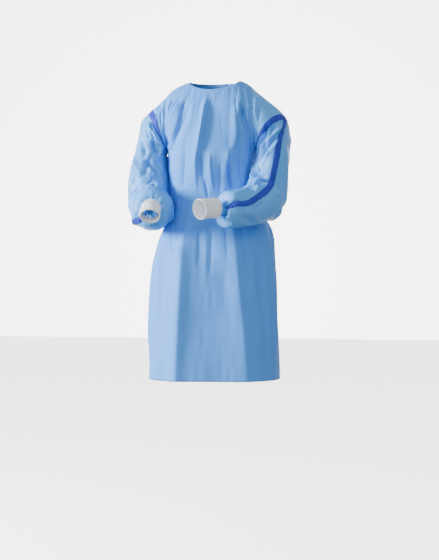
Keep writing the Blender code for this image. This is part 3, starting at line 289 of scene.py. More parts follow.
# Crisp creases of the sleeves: start, middle and end in sections and degrees, then as above
SLEEVE_CREASES = {
    "left": (
        (8.30, 156, 7.60, 143, 7.00, 122, 0.011, -0.0105, 0.2),
        (8.00, 162, 7.00, 148, 5.90, 134, 0.010, 0.0080, 0.0),
        (4.90, 172, 5.50, 140, 5.60, 112, 0.010, -0.0100, 0.2),
        (5.30, 175, 5.90, 145, 6.10, 112, 0.010, 0.0080, -0.2),
        (5.80, 172, 6.20, 152, 6.50, 122, 0.010, -0.0100, 0.2),
        (2.30, 96, 3.10, 118, 4.20, 150, 0.009, -0.0080, 0.0),
        (0.30, 26, 0.26, 61, 0.18, 94, 0.009, 0.0063, 0.3),
        (0.10, 60, 0.12, 82, 0.10, 104, 0.007, -0.0063, -0.2),
        (0.43, 22, 0.62, 26, 0.95, 20, 0.007, 0.0055, 0.0),
        (0.47, 50, 0.62, 67, 0.66, 92, 0.011, -0.0055, -0.3),
        (2.14, 71, 2.85, 96, 3.69, 137, 0.010, -0.0125, 0.2),
        (2.48, 61, 3.38, 101, 3.91, 150, 0.010, 0.0094, 0.3),
        (2.45, 45, 2.79, 65, 3.38, 94, 0.009, -0.0086, -0.2),
        (2.42, 16, 3.10, 60, 3.72, 111, 0.010, 0.0094, 0.0),
        (2.98, 37, 3.91, 99, 4.50, 165, 0.010, -0.0133, -0.3),
        (3.32, 39, 4.03, 86, 4.68, 142, 0.010, 0.0071, 0.2),
        (2.36, 92, 2.90, 122, 3.97, 160, 0.009, 0.0063, 0.3),
        (4.40, 172, 5.30, 166, 6.10, 168, 0.010, 0.0071, -0.2),
        (4.60, 160, 5.40, 152, 6.05, 158, 0.009, -0.0094, 0.0),
        (4.70, 150, 5.40, 143, 6.20, 150, 0.010, 0.0078, -0.3),
        (4.59, 140, 5.34, 133, 6.10, 140, 0.011, -0.0063, 0.2),
        (6.10, 168, 6.80, 142, 6.60, 108, 0.011, -0.0133, 0.3),
        (5.70, 150, 5.95, 130, 5.90, 108, 0.010, 0.0094, -0.2),
        (5.74, 128, 6.40, 118, 7.30, 108, 0.011, -0.0063, 0.0),
        (11.32, 143, 10.15, 148, 8.97, 150, 0.011, 0.0063, -0.3),
        (9.40, 158, 8.60, 160, 7.90, 158, 0.009, -0.0071, 0.2),
        (7.10, 98, 7.35, 88, 7.60, 78, 0.011, 0.0071, 0.3),
        (11.70, 110, 11.45, 68, 10.60, 22, 0.011, 0.0086, -0.2),
        (12.10, 112, 12.00, 70, 11.20, 28, 0.009, -0.0086, 0.0),
        (12.20, 90, 12.05, 50, 11.50, 5, 0.010, 0.0063, -0.3),
        (10.33, 92, 9.65, 69, 8.90, 54, 0.018, 0.0063, 0.2),
        (10.64, 76, 9.80, 48, 8.81, 13, 0.018, -0.0071, 0.3),
        (3.82, 32, 4.72, 38, 6.27, 52, 0.025, 0.0063, -0.2),
        (4.90, 70, 6.02, 76, 7.20, 62, 0.022, -0.0063, 0.0),
        (7.40, 40, 7.75, 10, 7.90, -20, 0.013, 0.0078, -0.3),
        (7.00, 60, 7.20, 20, 7.20, -15, 0.016, -0.0063, 0.2),
        (2.50, -10, 3.40, -45, 4.30, -90, 0.012, -0.0094, 0.3),
        (2.40, -35, 3.10, -70, 3.90, -120, 0.010, 0.0078, -0.2),
        (3.40, -20, 4.40, -60, 5.20, -110, 0.013, 0.0078, 0.0),
        (4.80, -30, 5.60, -70, 6.10, -125, 0.013, -0.0102, -0.3),
        (5.60, -20, 6.40, -60, 6.70, -120, 0.011, 0.0078, 0.2),
        (6.40, -15, 7.10, -60, 7.10, -125, 0.012, -0.0094, 0.3),
        (7.30, -40, 7.90, -80, 7.90, -130, 0.012, 0.0071, -0.2),
        (8.60, -30, 9.40, -60, 10.40, -80, 0.016, -0.0071, 0.0),
        (10.40, -60, 11.20, -90, 12.10, -120, 0.011, 0.0071, -0.3),
        (0.40, -20, 0.60, -60, 0.50, -95, 0.011, 0.0055, 0.2),
        (0.90, -30, 1.30, -50, 1.80, -60, 0.013, -0.0063, 0.3),
        (8.60, 95, 9.20, 88, 10.10, 92, 0.011, -0.0047, -0.2),
    ),
    "right": (
        (2.40, 50, 2.50, 84, 2.30, 122, 0.012, -0.0118, 0.0),
        (2.75, 46, 3.14, 86, 3.27, 119, 0.011, 0.0071, -0.3),
        (3.64, 76, 3.40, 109, 2.60, 140, 0.009, 0.0102, 0.2),
        (3.36, 50, 3.58, 73, 3.84, 93, 0.009, -0.0078, 0.3),
        (3.78, 92, 4.18, 117, 4.78, 142, 0.011, -0.0125, -0.2),
        (3.00, 135, 4.08, 138, 4.98, 150, 0.010, 0.0086, 0.0),
        (3.71, 42, 4.48, 84, 5.20, 116, 0.016, -0.0071, -0.3),
        (5.05, 100, 5.10, 128, 5.10, 160, 0.010, 0.0078, 0.2),
        (5.30, 100, 5.62, 140, 6.30, 172, 0.010, -0.0125, 0.3),
        (5.15, 145, 5.50, 165, 6.00, 178, 0.009, 0.0063, -0.2),
        (5.65, 118, 5.95, 145, 6.70, 168, 0.011, 0.0078, 0.0),
        (6.10, 152, 6.60, 158, 7.20, 152, 0.010, -0.0055, -0.3),
        (7.30, 92, 7.55, 112, 7.55, 134, 0.007, -0.0055, 0.2),
        (7.60, 96, 7.80, 114, 7.78, 132, 0.006, 0.0047, 0.3),
        (7.45, 140, 7.90, 152, 8.60, 150, 0.007, -0.0071, -0.2),
        (7.70, 138, 8.20, 148, 8.90, 144, 0.007, 0.0055, 0.0),
        (7.20, 168, 7.60, 178, 8.40, 176, 0.011, -0.0078, -0.3),
        (6.60, 172, 7.30, 186, 8.20, 190, 0.010, 0.0078, 0.2),
        (8.20, 150, 8.80, 130, 9.60, 122, 0.009, -0.0063, 0.3),
        (4.68, 55, 5.85, 80, 7.30, 98, 0.016, 0.0063, -0.2),
        (7.90, 110, 8.40, 90, 9.20, 86, 0.010, 0.0063, 0.0),
        (11.00, 40, 11.80, 64, 12.60, 84, 0.009, -0.0063, -0.3),
        (8.30, 60, 9.20, 74, 10.20, 96, 0.013, -0.0063, 0.2),
        (9.00, 40, 10.20, 50, 11.20, 70, 0.013, 0.0071, 0.3),
        (0.30, 30, 0.40, 60, 0.30, 92, 0.010, 0.0063, -0.2),
        (0.60, 40, 0.75, 70, 0.65, 100, 0.010, -0.0063, 0.0),
        (1.00, 20, 1.30, 50, 1.70, 80, 0.013, 0.0055, -0.3),
        (6.80, 30, 7.50, 50, 8.20, 54, 0.013, -0.0071, 0.2),
        (7.30, 10, 8.10, 24, 9.00, 30, 0.013, 0.0071, 0.3),
        (2.60, -10, 3.50, -45, 4.40, -92, 0.012, -0.0094, -0.2),
        (2.50, -40, 3.20, -75, 3.90, -120, 0.010, 0.0078, 0.0),
        (3.80, -20, 4.80, -60, 5.60, -112, 0.013, 0.0078, -0.3),
        (5.00, -20, 6.00, -66, 6.70, -125, 0.013, -0.0102, 0.2),
        (6.10, -20, 6.90, -60, 7.30, -118, 0.011, 0.0078, 0.3),
        (7.00, -20, 7.80, -70, 7.90, -130, 0.012, -0.0094, -0.2),
        (8.20, -20, 9.00, -60, 9.20, -110, 0.013, 0.0071, 0.0),
        (9.60, -40, 10.60, -70, 11.60, -90, 0.013, -0.0071, -0.3),
        (11.40, -40, 12.30, -80, 13.10, -110, 0.011, 0.0071, 0.2),
        (0.50, -30, 0.70, -70, 0.60, -100, 0.011, 0.0055, 0.3),
    ),
}

# The sleeve's end is drawn in by gathers of uneven width: degrees, then depth as a share
GATHERS = (
    (4, 1.0), (19, 0.7), (35, 0.9), (48, 0.6), (66, 1.0), (83, 0.8), (97, 0.6), (115, 1.0),
    (133, 0.7), (149, 0.9), (166, 0.6), (183, 1.0), (200, 0.8), (214, 0.7), (233, 1.0),
    (249, 0.6), (266, 0.9), (283, 0.8), (299, 0.7), (318, 1.0), (334, 0.6), (348, 0.8),
)
GATHER_DEPTH = 0.0075
GATHER_SECTIONS = {"left": 2.3, "right": 2.6}
GATHER_BREADTH = 5.0
GATHER_SHORTEST = 0.55
GATHER_BEND = 7.0
GATHER_REST = 0.35

# Cuffs: a straight ribbed knit tube from the gathered end of each sleeve
CUFF_LENGTH = 0.062
CUFF_RADIUS = 0.0285
CUFF_TURN = {"left": (-0.58, -0.80, -0.16), "right": (0.08, -0.62, -0.78)}
CUFF_THICKNESS = 0.0011
CUFF_TUCK = 0.002
RIB_HEIGHT = 0.0007
CUFF_SLACK = 0.0009
CUFF_EDGE = 0.0012

# Waist ties and neck tab, at the back
WAIST_Z = -0.352
TIE_HALF_WIDTH = 0.011
TIE_START = 96.3
TIE_END = 175.3
TIE_FREE_LENGTH = {"left": 0.30, "right": 0.258}
TIE_STAND_OFF = 0.018
TIE_SWAY = 0.034
KNOT_SIZE = (0.036, 0.013, 0.026)
TAB_TOP, TAB_LOW = 0.0486, 0.1203
TAB_START, TAB_END = 152.1, 207.9
TAB_FALL = 9.6
TIE_THICKNESS = 0.0012
TIE_GAP = 0.0009
TIE_CROWN = 0.0005
TIE_WRINKLE = 0.0006
TIE_CLIMB_START, TIE_CLIMB, TIE_CLIMB_SHARE = 161.4, 8.6, 1.25
KNOT_GAP = 0.0003
KNOT_SWELL = 0.07
END_BULGE = 0.0012

# Tapes: how far they stand off the sleeve, where the long tape starts and how far it ends before
# the sleeve in sections, and the steps that measure a section and a degree in metres
TAPE_GAP = 0.0006
LONG_TAPE_RISE = 0.0002
LONG_TAPE_START = CAP_SEAM + 0.12
LONG_TAPE_SHORT = 0.35
PROBE_SECTIONS = 0.1
PROBE_DEGREES = 4.0

# Cuts of the pieces: width and length of the cloth, and area where it isn't a rectangle
CAP_CUT, CAP_AREA = (0.42, 0.13), 0.030
SLEEVE_CUT, SLEEVE_AREA = (0.46, 0.52), 0.17

# Rows and columns of the surfaces
UPPER_ROWS, LOWER_ROWS = 60, 130
FRONT_COLUMNS, BACK_COLUMNS = 241, 84
CAP_ROWS, SLEEVE_ROWS, SLEEVE_COLUMNS = 44, 210, 170
TAPE_COLUMNS, RING_TAPE_ROWS, LONG_TAPE_ROWS = 9, 240, 230
CUFF_ROWS, COLUMNS_A_RIB = 40, 6
TIE_ROWS, TIE_COLUMNS = 13, 110
KNOT_ROWS, KNOT_COLUMNS = 41, 96
END_ROWS, END_COLUMNS = 90, 11
TAB_ROWS, TAB_COLUMNS = 15, 90

# Stage: the floor, the lamps and the camera, with the view's direction, distance, height and shift
FLOOR_Z = -1.432
FLOOR_SIZE = 30.0
FLOOR_GLOW = 2.6
LAMPS = (
    # name, place, size, power
    ("key", (-3.5, -1.6, 0.35), 1.3, 530.0),
    ("fill", (0.9, -4.0, 0.6), 2.2, 55.0),
)
LAMP_TARGET = (0.0, 0.0, -0.45)
WALL_LIGHT = 0.53
CEILING_LIGHT = 0.3
LIT_SIDE_LIGHT, LIT_SIDE = 0.22, (-0.75, -0.55, 0.35)
BACK_WALL_LIGHT, BACK_WALL = 6.0, (-0.2, 0.98, 0.0)
VIEW_AZIMUTH = 12.0
VIEW_DISTANCE = 4.2
VIEW_HEIGHT = -0.595
VIEW_ASIDE = 0.0109
VIEW_LENS = 87.1


def unit(vectors):
    return vectors / np.linalg.norm(vectors, axis=-1, keepdims=True)


def smooth_step(x):
    x = np.clip(x, 0.0, 1.0)
    return x * x * (3.0 - 2.0 * x)


def wrapped(angle):
    """The same angle in degrees, from -180 to 180."""
    return (np.asarray(angle, float) + 180.0) % 360.0 - 180.0


def through_rows(rows, at):
    """Reads the rows of a table at places between them, along a curve through every row."""
    rows = np.asarray(rows, float)
    at = np.asarray(at, float)
    i = np.clip(np.floor(at).astype(int), 0, len(rows) - 2)
    x = (at - i)[..., None]
    before, here = rows[np.clip(i - 1, 0, None)], rows[i]
    after, beyond = rows[i + 1], rows[np.clip(i + 2, None, len(rows) - 1)]
    slope_here, slope_after = (after - before) / 2.0, (beyond - here) / 2.0
    return (
        (2 * x**3 - 3 * x**2 + 1) * here
        + (x**3 - 2 * x**2 + x) * slope_here
        + (3 * x**2 - 2 * x**3) * after
        + (x**3 - x**2) * slope_after
    )


def soft_folds(folds, across, along, across_size, along_size):
    """Adds up soft ridges and troughs that fade at both ends."""
    total = np.zeros(np.broadcast(across, along).shape)
    for a0, b0, a1, b1, width, depth in folds:
        run = np.array([(a1 - a0) * across_size, (b1 - b0) * along_size])
        length = math.hypot(*run)
        du = (across - a0) * across_size
        dv = (along - b0) * along_size
        done = (du * run[0] + dv * run[1]) / length
        off = (du * run[1] - dv * run[0]) / length
        run_in = FOLD_FADE * length
        fade = smooth_step(done / run_in) * smooth_step((length - done) / run_in)
        total = total + depth * fade * np.exp(-((off / (FOLD_BREADTH * width)) ** 2))
    return total


def crisp_creases(creases, across, along, across_size, along_size):
    """Adds up creases with a sharp back, each along a curve through three points."""
    total = np.zeros(np.broadcast(across, along).shape)
    u, v = across * across_size, along * along_size
    steps = np.linspace(0.0, 1.0, CREASE_STEPS)
    rest = 1 - steps
    weights = np.stack([rest * (1 - 2 * steps), 4 * steps * rest, steps * (2 * steps - 1)])
    for a0, b0, a1, b1, a2, b2, width, depth, lean in creases:
        path_u = np.array([a0, a1, a2]) @ weights * across_size
        path_v = np.array([b0, b1, b2]) @ weights * along_size
        reach = CREASE_REACH * width * (1.0 + abs(lean))
        near = (u > path_u.min() - reach) & (u < path_u.max() + reach)
        near &= (v > path_v.min() - reach) & (v < path_v.max() + reach)
        if not near.any():
            continue
        pu, pv = u[near], v[near]
        best = np.full(pu.shape, 1e9)
        place = np.zeros(pu.shape)
        beside = np.zeros(pu.shape)
        for i in range(len(steps) - 1):
            eu, ev = path_u[i + 1] - path_u[i], path_v[i + 1] - path_v[i]
            from_u, from_v = pu - path_u[i], pv - path_v[i]
            share = (from_u * eu + from_v * ev) / max(eu * eu + ev * ev, 1e-12)
            share = np.clip(share, 0.0, 1.0)
            off = np.hypot(from_u - share * eu, from_v - share * ev)
            closer = off < best
            turned = from_u * ev - from_v * eu
            beside = np.where(closer, np.sign(turned), beside)
            best = np.where(closer, off, best)
            place = np.where(closer, steps[i] + share * (steps[i + 1] - steps[i]), place)
        fade = smooth_step(place / CREASE_FADE) * smooth_step((1.0 - place) / CREASE_FADE)
        own_width = width * np.where(beside > 0.0, 1.0 + lean, 1.0 - lean)
        tip = CREASE_TIP / own_width
        back = np.sqrt((best / own_width) ** 2 + tip**2) - tip
        total[near] += depth * fade * np.exp(-back / CREASE_FALL)
    return total


def wander(u, v, seed, period=0):
    """Smooth random values from -1 to 1 over a plane; period repeats them along u."""
    table = np.random.RandomState(seed).uniform(-1.0, 1.0, (CRUMPLE_TABLE, CRUMPLE_TABLE))
    iu, iv = np.floor(u).astype(int), np.floor(v).astype(int)
    fu, fv = smooth_step(u - iu), smooth_step(v - iv)
    wrap = period or CRUMPLE_TABLE

    def corner(i, j):
        return table[(iu + i) % wrap % CRUMPLE_TABLE, (iv + j) % CRUMPLE_TABLE]

    low = corner(0, 0) * (1 - fu) + corner(1, 0) * fu
    high = corner(0, 1) * (1 - fu) + corner(1, 1) * fu
    return low * (1 - fv) + high * fv


def surface_normal(surface, u, v, du, dv):
    """The normal of a surface function, from small steps both ways, inward or outward."""
    across = surface(u + du, v) - surface(u - du, v)
    along = surface(u, v + dv) - surface(u, v - dv)
    return unit(np.cross(across, along))


def sleeve_base(side, section, angle):
    """A point on the plain sleeve, at a section of the table and degrees round the arm."""
    table = SLEEVE_SECTIONS[side]
    section = np.clip(section, 0.0, len(table) - 1.0)
    row = through_rows(table, section)
    ahead = through_rows(table, np.clip(section + AXIS_STEP, 0.0, len(table) - 1.0))
    behind = through_rows(table, np.clip(section - AXIS_STEP, 0.0, len(table) - 1.0))
    inner, outer, half_depth, bow = row[..., 0:3], row[..., 3:6], row[..., 6:7], row[..., 7:8]
    axis = unit(ahead[..., 0:3] + ahead[..., 3:6] - behind[..., 0:3] - behind[..., 3:6])
    forward = unit(np.cross(axis, outer - inner))
    if side == "right":
        forward = -forward
    begun = smooth_step(np.asarray(section, float) / TURN_SECTIONS)[..., None]
    forward = unit(forward * begun + np.array([0.0, -1.0, 0.0]) * (1.0 - begun))
    sideways = np.array([1.0 if side == "left" else -1.0, 0.0, 0.0])
    axis = unit(axis * begun + sideways * (1.0 - begun))
    turn = np.radians(np.asarray(angle, float))[..., None]
    ring = (outer + inner) / 2.0 + np.cos(turn) * (outer - inner) / 2.0
    return ring + np.sin(turn) * half_depth * forward + np.sin(turn) ** 2 * bow * axis


def sleeve_last(side):
    return len(SLEEVE_SECTIONS[side]) - 1.0


def gathers(side, section, angle):
    """The pleats that draw the sleeve's end in to the cuff, long and short by turns."""
    reach = GATHER_SECTIONS[side]
    total = np.zeros(section.shape)
    for i, (where, share) in enumerate(GATHERS):
        length = reach * (GATHER_SHORTEST + (1.0 - GATHER_SHORTEST) * share)
        place = (section - (sleeve_last(side) - length)) / length
        done = np.clip(place, 0.0, 1.0)
        bend = GATHER_BEND * math.sin(i * 2.1) * (1.0 - done)
        off = wrapped(angle - where - bend)
        breadth = GATHER_BREADTH * (1.5 - 0.6 * done)
        swell = smooth_step(place / 0.8) * (1.0 - 0.75 * smooth_step((place - 0.86) / 0.14))
        total = total + share * swell * (np.exp(-np.abs(off / breadth) ** 1.5) - GATHER_REST)
    return GATHER_DEPTH * total


def sleeve_point(side, section, angle, lift=0.0):
    """A point on the finished sleeve: its form, folds, creases, crumple, puckers and gathers."""
    section, angle = np.broadcast_arrays(np.asarray(section, float), np.asarray(angle, float))
    last = sleeve_last(side)
    depth_scale = bpy.context.scene.gown_sizes.crease_depth

    def plain(at_section, at_angle):
        return sleeve_base(side, at_section, at_angle)

    inside = np.clip(section, 0.03, last - 0.03)
    normal = surface_normal(plain, inside, angle, 0.02, 0.5)
    if side == "left":
        normal = -normal
    height = np.zeros(section.shape)
    sizes = (SECTION_LENGTH, math.radians(SLEEVE_RADIUS))
    turned = wrapped(angle)
    for turn in (-360.0, 0.0, 360.0):
        height = height + soft_folds(SLEEVE_FOLDS[side], section, turned + turn, *sizes)
        creases = crisp_creases(SLEEVE_CREASES[side], section, turned + turn, *sizes)
        height = height + depth_scale * creases
    edge = smooth_step(section / 0.5) * smooth_step((last - section) / 0.6)
    height = height * edge
    seed = SLEEVE_SEED[side]
    slanted = section + 1.2 * np.sin(np.radians(turned))

    def crumpled(waves, along, later):
        return wander(turned / 360.0 * waves + waves, along, seed + later, waves)

    coarse = crumpled(COARSE_WAVES, slanted * 1.5, 0)
    fine = crumpled(FINE_WAVES, slanted * 3.1 + 1.4 * coarse, 1)
    finest = crumpled(FINEST_WAVES, section * 6.0 + 1.2 * fine, 2)
    crumple = COARSE_CRUMPLE * (0.45 - np.abs(coarse)) + FINE_CRUMPLE * (0.4 - np.abs(fine))
    height = height + (crumple + FINEST_CRUMPLE * finest) * edge * depth_scale
    puckers = 0.5 * crumpled(PUCKER_WAVES, section * 0.7, 3)
    for seam, reach in SLEEVE_PUCKERS:
        away = np.abs(section - seam) / reach
        height = height + SLEEVE_PUCKER * puckers * away * np.exp(-away)
    height = height + gathers(side, section, angle)
    return plain(section, angle) + normal * (height + lift)[..., None]


def squircle(angle):
    """The sideways and forward shares of a rounded square's point at an angle from the front."""
    turn = np.radians(np.asarray(angle, float))
    sine, cosine = np.sin(turn), np.cos(turn)
    reach = (np.abs(sine) ** SQUARENESS + np.abs(cosine) ** SQUARENESS) ** (-1.0 / SQUARENESS)
    return reach * sine, reach * cosine


def torso_ring(angle, height):
    """A point on the plain torso below the armholes."""
    rows = np.array(TORSO_SECTIONS)[::-1]
    row = through_rows(rows, np.interp(height, rows[:, 0], np.arange(len(rows))))
    aside, ahead = squircle(angle)
    half_width = np.where(aside > 0.0, row[..., 1], row[..., 2])
    widest = row[..., 5]
    depth = np.where(ahead > 0.0, row[..., 3] + widest, row[..., 4] - widest)
    x = CENTRE_X + half_width * aside
    y = widest - depth * ahead
    return np.stack(np.broadcast_arrays(x, y, np.asarray(height, float)), axis=-1)


def torso_top(angle):
    """A point on the top edge: a shoulder seam or the neckline."""
    angle = wrapped(angle)
    size = np.abs(angle)
    side = np.where(angle < 0.0, -1.0, 1.0)
    from_side = np.abs(size - SIDE_SEAM)
    along = np.clip(from_side / (SIDE_SEAM - NECK_SIDE), 0.0, 1.0)
    left_tip = sleeve_base("left", np.array(0.0), np.array(0.0))
    right_tip = sleeve_base("right", np.array(0.0), np.array(0.0))
    tip = np.where((side > 0.0)[..., None], left_tip, right_tip)
    neck = np.stack(np.broadcast_arrays(side * NECK_HALF_WIDTH, 0.0, NECK_SIDE_Z), axis=-1)
    shoulder = tip + (neck - tip) * along[..., None]
    shoulder[..., 2] += SHOULDER_CROWN * np.sin(along * math.pi)
    front = size < SIDE_SEAM
    span = np.where(front, NECK_SIDE - size, size - (180.0 - NECK_SIDE)) / NECK_SIDE
    turn = np.clip(span, 0.0, 1.0) * math.pi / 2.0
    depth = np.where(front, NECK_FRONT_Y, NECK_BACK_Y)
    low = np.where(front, NECK_FRONT_Z, NECK_BACK_Z)
    neckline = np.stack(
        [
            side * NECK_HALF_WIDTH * np.cos(turn),
            depth * np.sin(turn),
            NECK_SIDE_Z + (low - NECK_SIDE_Z) * np.sin(turn) ** 1.5,
        ],
        axis=-1,
    )
    return np.where((from_side < SIDE_SEAM - NECK_SIDE)[..., None], shoulder, neckline)


def torso_upper(angle, drop):
    """A point on the plain torso between its top edge and the armpits, a drop of 0 to 1 down."""
    angle, drop = np.broadcast_arrays(wrapped(angle), np.asarray(drop, float))
    size = np.abs(angle)
    front = size <= SIDE_SEAM
    top = torso_top(angle)
    zero = np.zeros(angle.shape)
    tip_left, tip_right = sleeve_base("left", zero, zero), sleeve_base("right", zero, zero)
    turn = np.degrees(np.arccos(np.clip(1.0 - 2.0 * drop, -1.0, 1.0)))
    turn = np.where(front, turn, 360.0 - turn)
    edge_left, edge_right = sleeve_base("left", zero, turn), sleeve_base("right", zero, turn)
    on_left = angle > 0.0
    tip_x = np.where(on_left, tip_left[..., 0], tip_right[..., 0])
    edge_x = np.where(on_left, edge_left[..., 0], edge_right[..., 0])
    aside, ahead = squircle(angle)
    aside, ahead = np.abs(aside), np.abs(ahead)
    corner = smooth_step((drop - 0.5) / 0.5)
    turned = 1.0 - np.abs(SIDE_SEAM - size) / SIDE_SEAM
    chest_aside = turned * (1.25 - 0.25 * turned**2)
    aside = corner * aside + (1.0 - corner) * chest_aside
    ahead = corner * ahead + (1.0 - corner) * (1.0 - chest_aside**2.2)
    top_aside = (top[..., 0] - CENTRE_X) / (tip_x - CENTRE_X)
    top_ahead = top[..., 1] / np.where(front, NECK_FRONT_Y, NECK_BACK_Y)
    begun = smooth_step(drop / 0.40)
    aside = begun * aside + (1.0 - begun) * top_aside
    ahead = begun * ahead + (1.0 - begun) * top_ahead
    run = 1.0 - (1.0 - drop) ** CHEST_CURVE
    last = torso_ring(np.where(front, 0.0, 180.0), np.full(size.shape, ARMPIT_Z))[..., 1]
    first = np.where(front, NECK_FRONT_Y, NECK_BACK_Y)
    middle_y = first + (last - first) * run
    share = np.clip(0.5 + 0.5 * np.where(on_left, aside, -aside), 0.0, 1.0)
    edge_y = edge_right[..., 1] * (1.0 - share) + edge_left[..., 1] * share
    x = CENTRE_X + (edge_x - CENTRE_X) * aside
    y = edge_y + (middle_y - edge_y) * ahead
    z = top[..., 2] + (ARMPIT_Z - top[..., 2]) * drop
    return np.stack([x, y, z], axis=-1)


def torso_joined(angle, level):
    """The upper and lower torso: level is 0 at the top edge, 1 at the armpits and 2 at the hem."""
    angle, level = np.broadcast_arrays(np.asarray(angle, float), np.asarray(level, float))
    upper = torso_upper(angle, np.clip(level, 0.0, 1.0))
    height = ARMPIT_Z + np.clip(level - 1.0, 0.0, 1.2) * (HEM_Z - ARMPIT_Z)
    return np.where((level < 1.0)[..., None], upper, torso_ring(angle, height))


def torso_plain(angle, level):
    """A point on the plain torso, its form eased at the armpits except beside the armholes."""
    angle, level = np.broadcast_arrays(np.asarray(angle, float), np.asarray(level, float))
    down = (level - 1.0) * np.where(level < 1.0, JOIN_ABOVE, JOIN_BELOW)
    clear = smooth_step((np.abs(np.abs(wrapped(angle)) - SIDE_SEAM) - 2.0) / 14.0)
    reach = JOIN_REACH * np.exp(-((down / JOIN_REACH) ** 2)) * clear
    total = 0.0
    for step, share in JOIN_SHARES:
        moved = down + step * reach
        at = 1.0 + moved / np.where(moved < 0.0, JOIN_ABOVE, JOIN_BELOW)
        total = total + share * torso_joined(angle, at)
    return total


def torso_point(angle, level, lift=0.0):
    """A point on the finished torso: its form, folds, creases, slack and puckers at the seams."""
    angle, level = np.broadcast_arrays(np.asarray(angle, float), np.asarray(level, float))
    depth_scale = bpy.context.scene.gown_sizes.crease_depth
    plain = torso_plain(angle, level)
    at = wrapped(angle)
    size = np.abs(at)
    inside = np.where(
        np.abs(size - SIDE_SEAM) < 1.5,
        angle + np.where((size < SIDE_SEAM) == (at > 0.0), -1.5, 1.5),
        angle,
    )
    normal = surface_normal(torso_plain, inside, np.clip(level, 0.02, 2.0), 0.6, 0.01)
    sizes = (math.radians(TORSO_RADIUS), 1.0)
    z = plain[..., 2]
    height = np.zeros(angle.shape)
    for turn in (-360.0, 0.0, 360.0):
        height = height + soft_folds(TORSO_FOLDS, at + turn, z, *sizes)
        height = height + depth_scale * crisp_creases(TORSO_CREASES, at + turn, z, *sizes)
    before, after = (SIDE_SEAM - 4.0 - size) / 12.0, (size - SIDE_SEAM - 4.0) / 12.0
    upper_edge = smooth_step(before) + smooth_step(after)
    below = np.exp(-(np.maximum(level, 1.0) - 1.0) / 0.05)
    shoulder = np.where(level < 1.0, upper_edge, 1.0 - (1.0 - upper_edge) * below)
    height = height * shoulder * smooth_step(level / 0.25)
    u, v = size * np.where(at < 0.0, -1.0, 1.0) / 9.0 + 60.0, z * 8.0 + 40.0
    slack = TORSO_SLACK * wander(u, v, 5) + TORSO_FINE_SLACK * wander(u * 2.3, v * 2.1, 6)
    height = height + slack * shoulder * smooth_step(level / 0.12)
    away = np.abs(size - SIDE_SEAM) / 5.0
    pucker = wander(z * 95.0 + 50.0, size * 0.05 + np.where(at < 0.0, 20.0, 40.0), 8)
    pucker = ARMHOLE_PUCKER * pucker * away * np.exp(-away)
    height = height + pucker * np.where(level < 1.0, 1.0, below)
    down = level / 0.035
    neck = wander(at / 3.0 + 60.0, z * 3.0 + 9.0, 9)
    height = height + NECK_PUCKER * neck * down * np.exp(-down)
    return plain - normal * (height + lift)[..., None]


def add_grid(name, points, closed=False, thickness=None):
    """A cloth surface through a grid of points, given a thickness by Solidify."""
    rows, columns = points.shape[:2]
    across = columns if closed else columns - 1
    row, column = np.meshgrid(np.arange(rows - 1), np.arange(across), indexing="ij")
    after = (column + 1) % columns
    here, below = row * columns, (row + 1) * columns
    quads = np.stack([here + column, here + after, below + after, below + column], axis=-1)
    quads = quads.reshape(-1, 4)
    mesh = bpy.data.meshes.new(name)
    mesh.vertices.add(rows * columns)
    mesh.vertices.foreach_set("co", points.reshape(-1).astype(np.float32))
    mesh.loops.add(len(quads) * 4)
    mesh.loops.foreach_set("vertex_index", quads.reshape(-1).astype(np.int32))
    mesh.polygons.add(len(quads))
    mesh.polygons.foreach_set("loop_start", np.arange(0, len(quads) * 4, 4, dtype=np.int32))
    mesh.update(calc_edges=True)
    mesh.validate()
    mesh.shade_smooth()
    thing = bpy.data.objects.new(name, mesh)
    bpy.context.scene.collection.objects.link(thing)
    if thickness:
        solid = thing.modifiers.new("thickness", "SOLIDIFY")
        solid.thickness = thickness
        solid.offset = 0.0
    return thing


class Wire:
    """One output of a material's node, which can be used in sums."""

    def __init__(self, recipe, socket):
        self.recipe = recipe
        self.socket = socket

    def math(self, operation, first, second):
        return self.recipe.add("ShaderNodeMath", {"operation": operation}, {0: first, 1: second})

    def __add__(self, other):
        return self.math("ADD", self, other)

    __radd__ = __add__

    def __sub__(self, other):
        return self.math("SUBTRACT", self, other)

    def __rsub__(self, other):
        return self.math("SUBTRACT", other, self)

    def __mul__(self, other):
        return self.math("MULTIPLY", self, other)

    __rmul__ = __mul__

    def __pow__(self, other):
        return self.math("POWER", self, other)


class Nodes:
    """A tree of nodes, added one at a time."""

    def __init__(self, tree):
        self.tree = tree

    def add(self, kind, settings=None, values=None, output=0):
        node = self.tree.nodes.new(kind)
        for key, value in (settings or {}).items():
            setattr(node, key, value)
        for key, value in (values or {}).items():
            self.put(node.inputs[key], value)
        return Wire(self, node.outputs[output])

    def put(self, socket, value):
        if isinstance(value, Wire):
            self.tree.links.new(value.socket, socket)
        else:
            socket.default_value = value


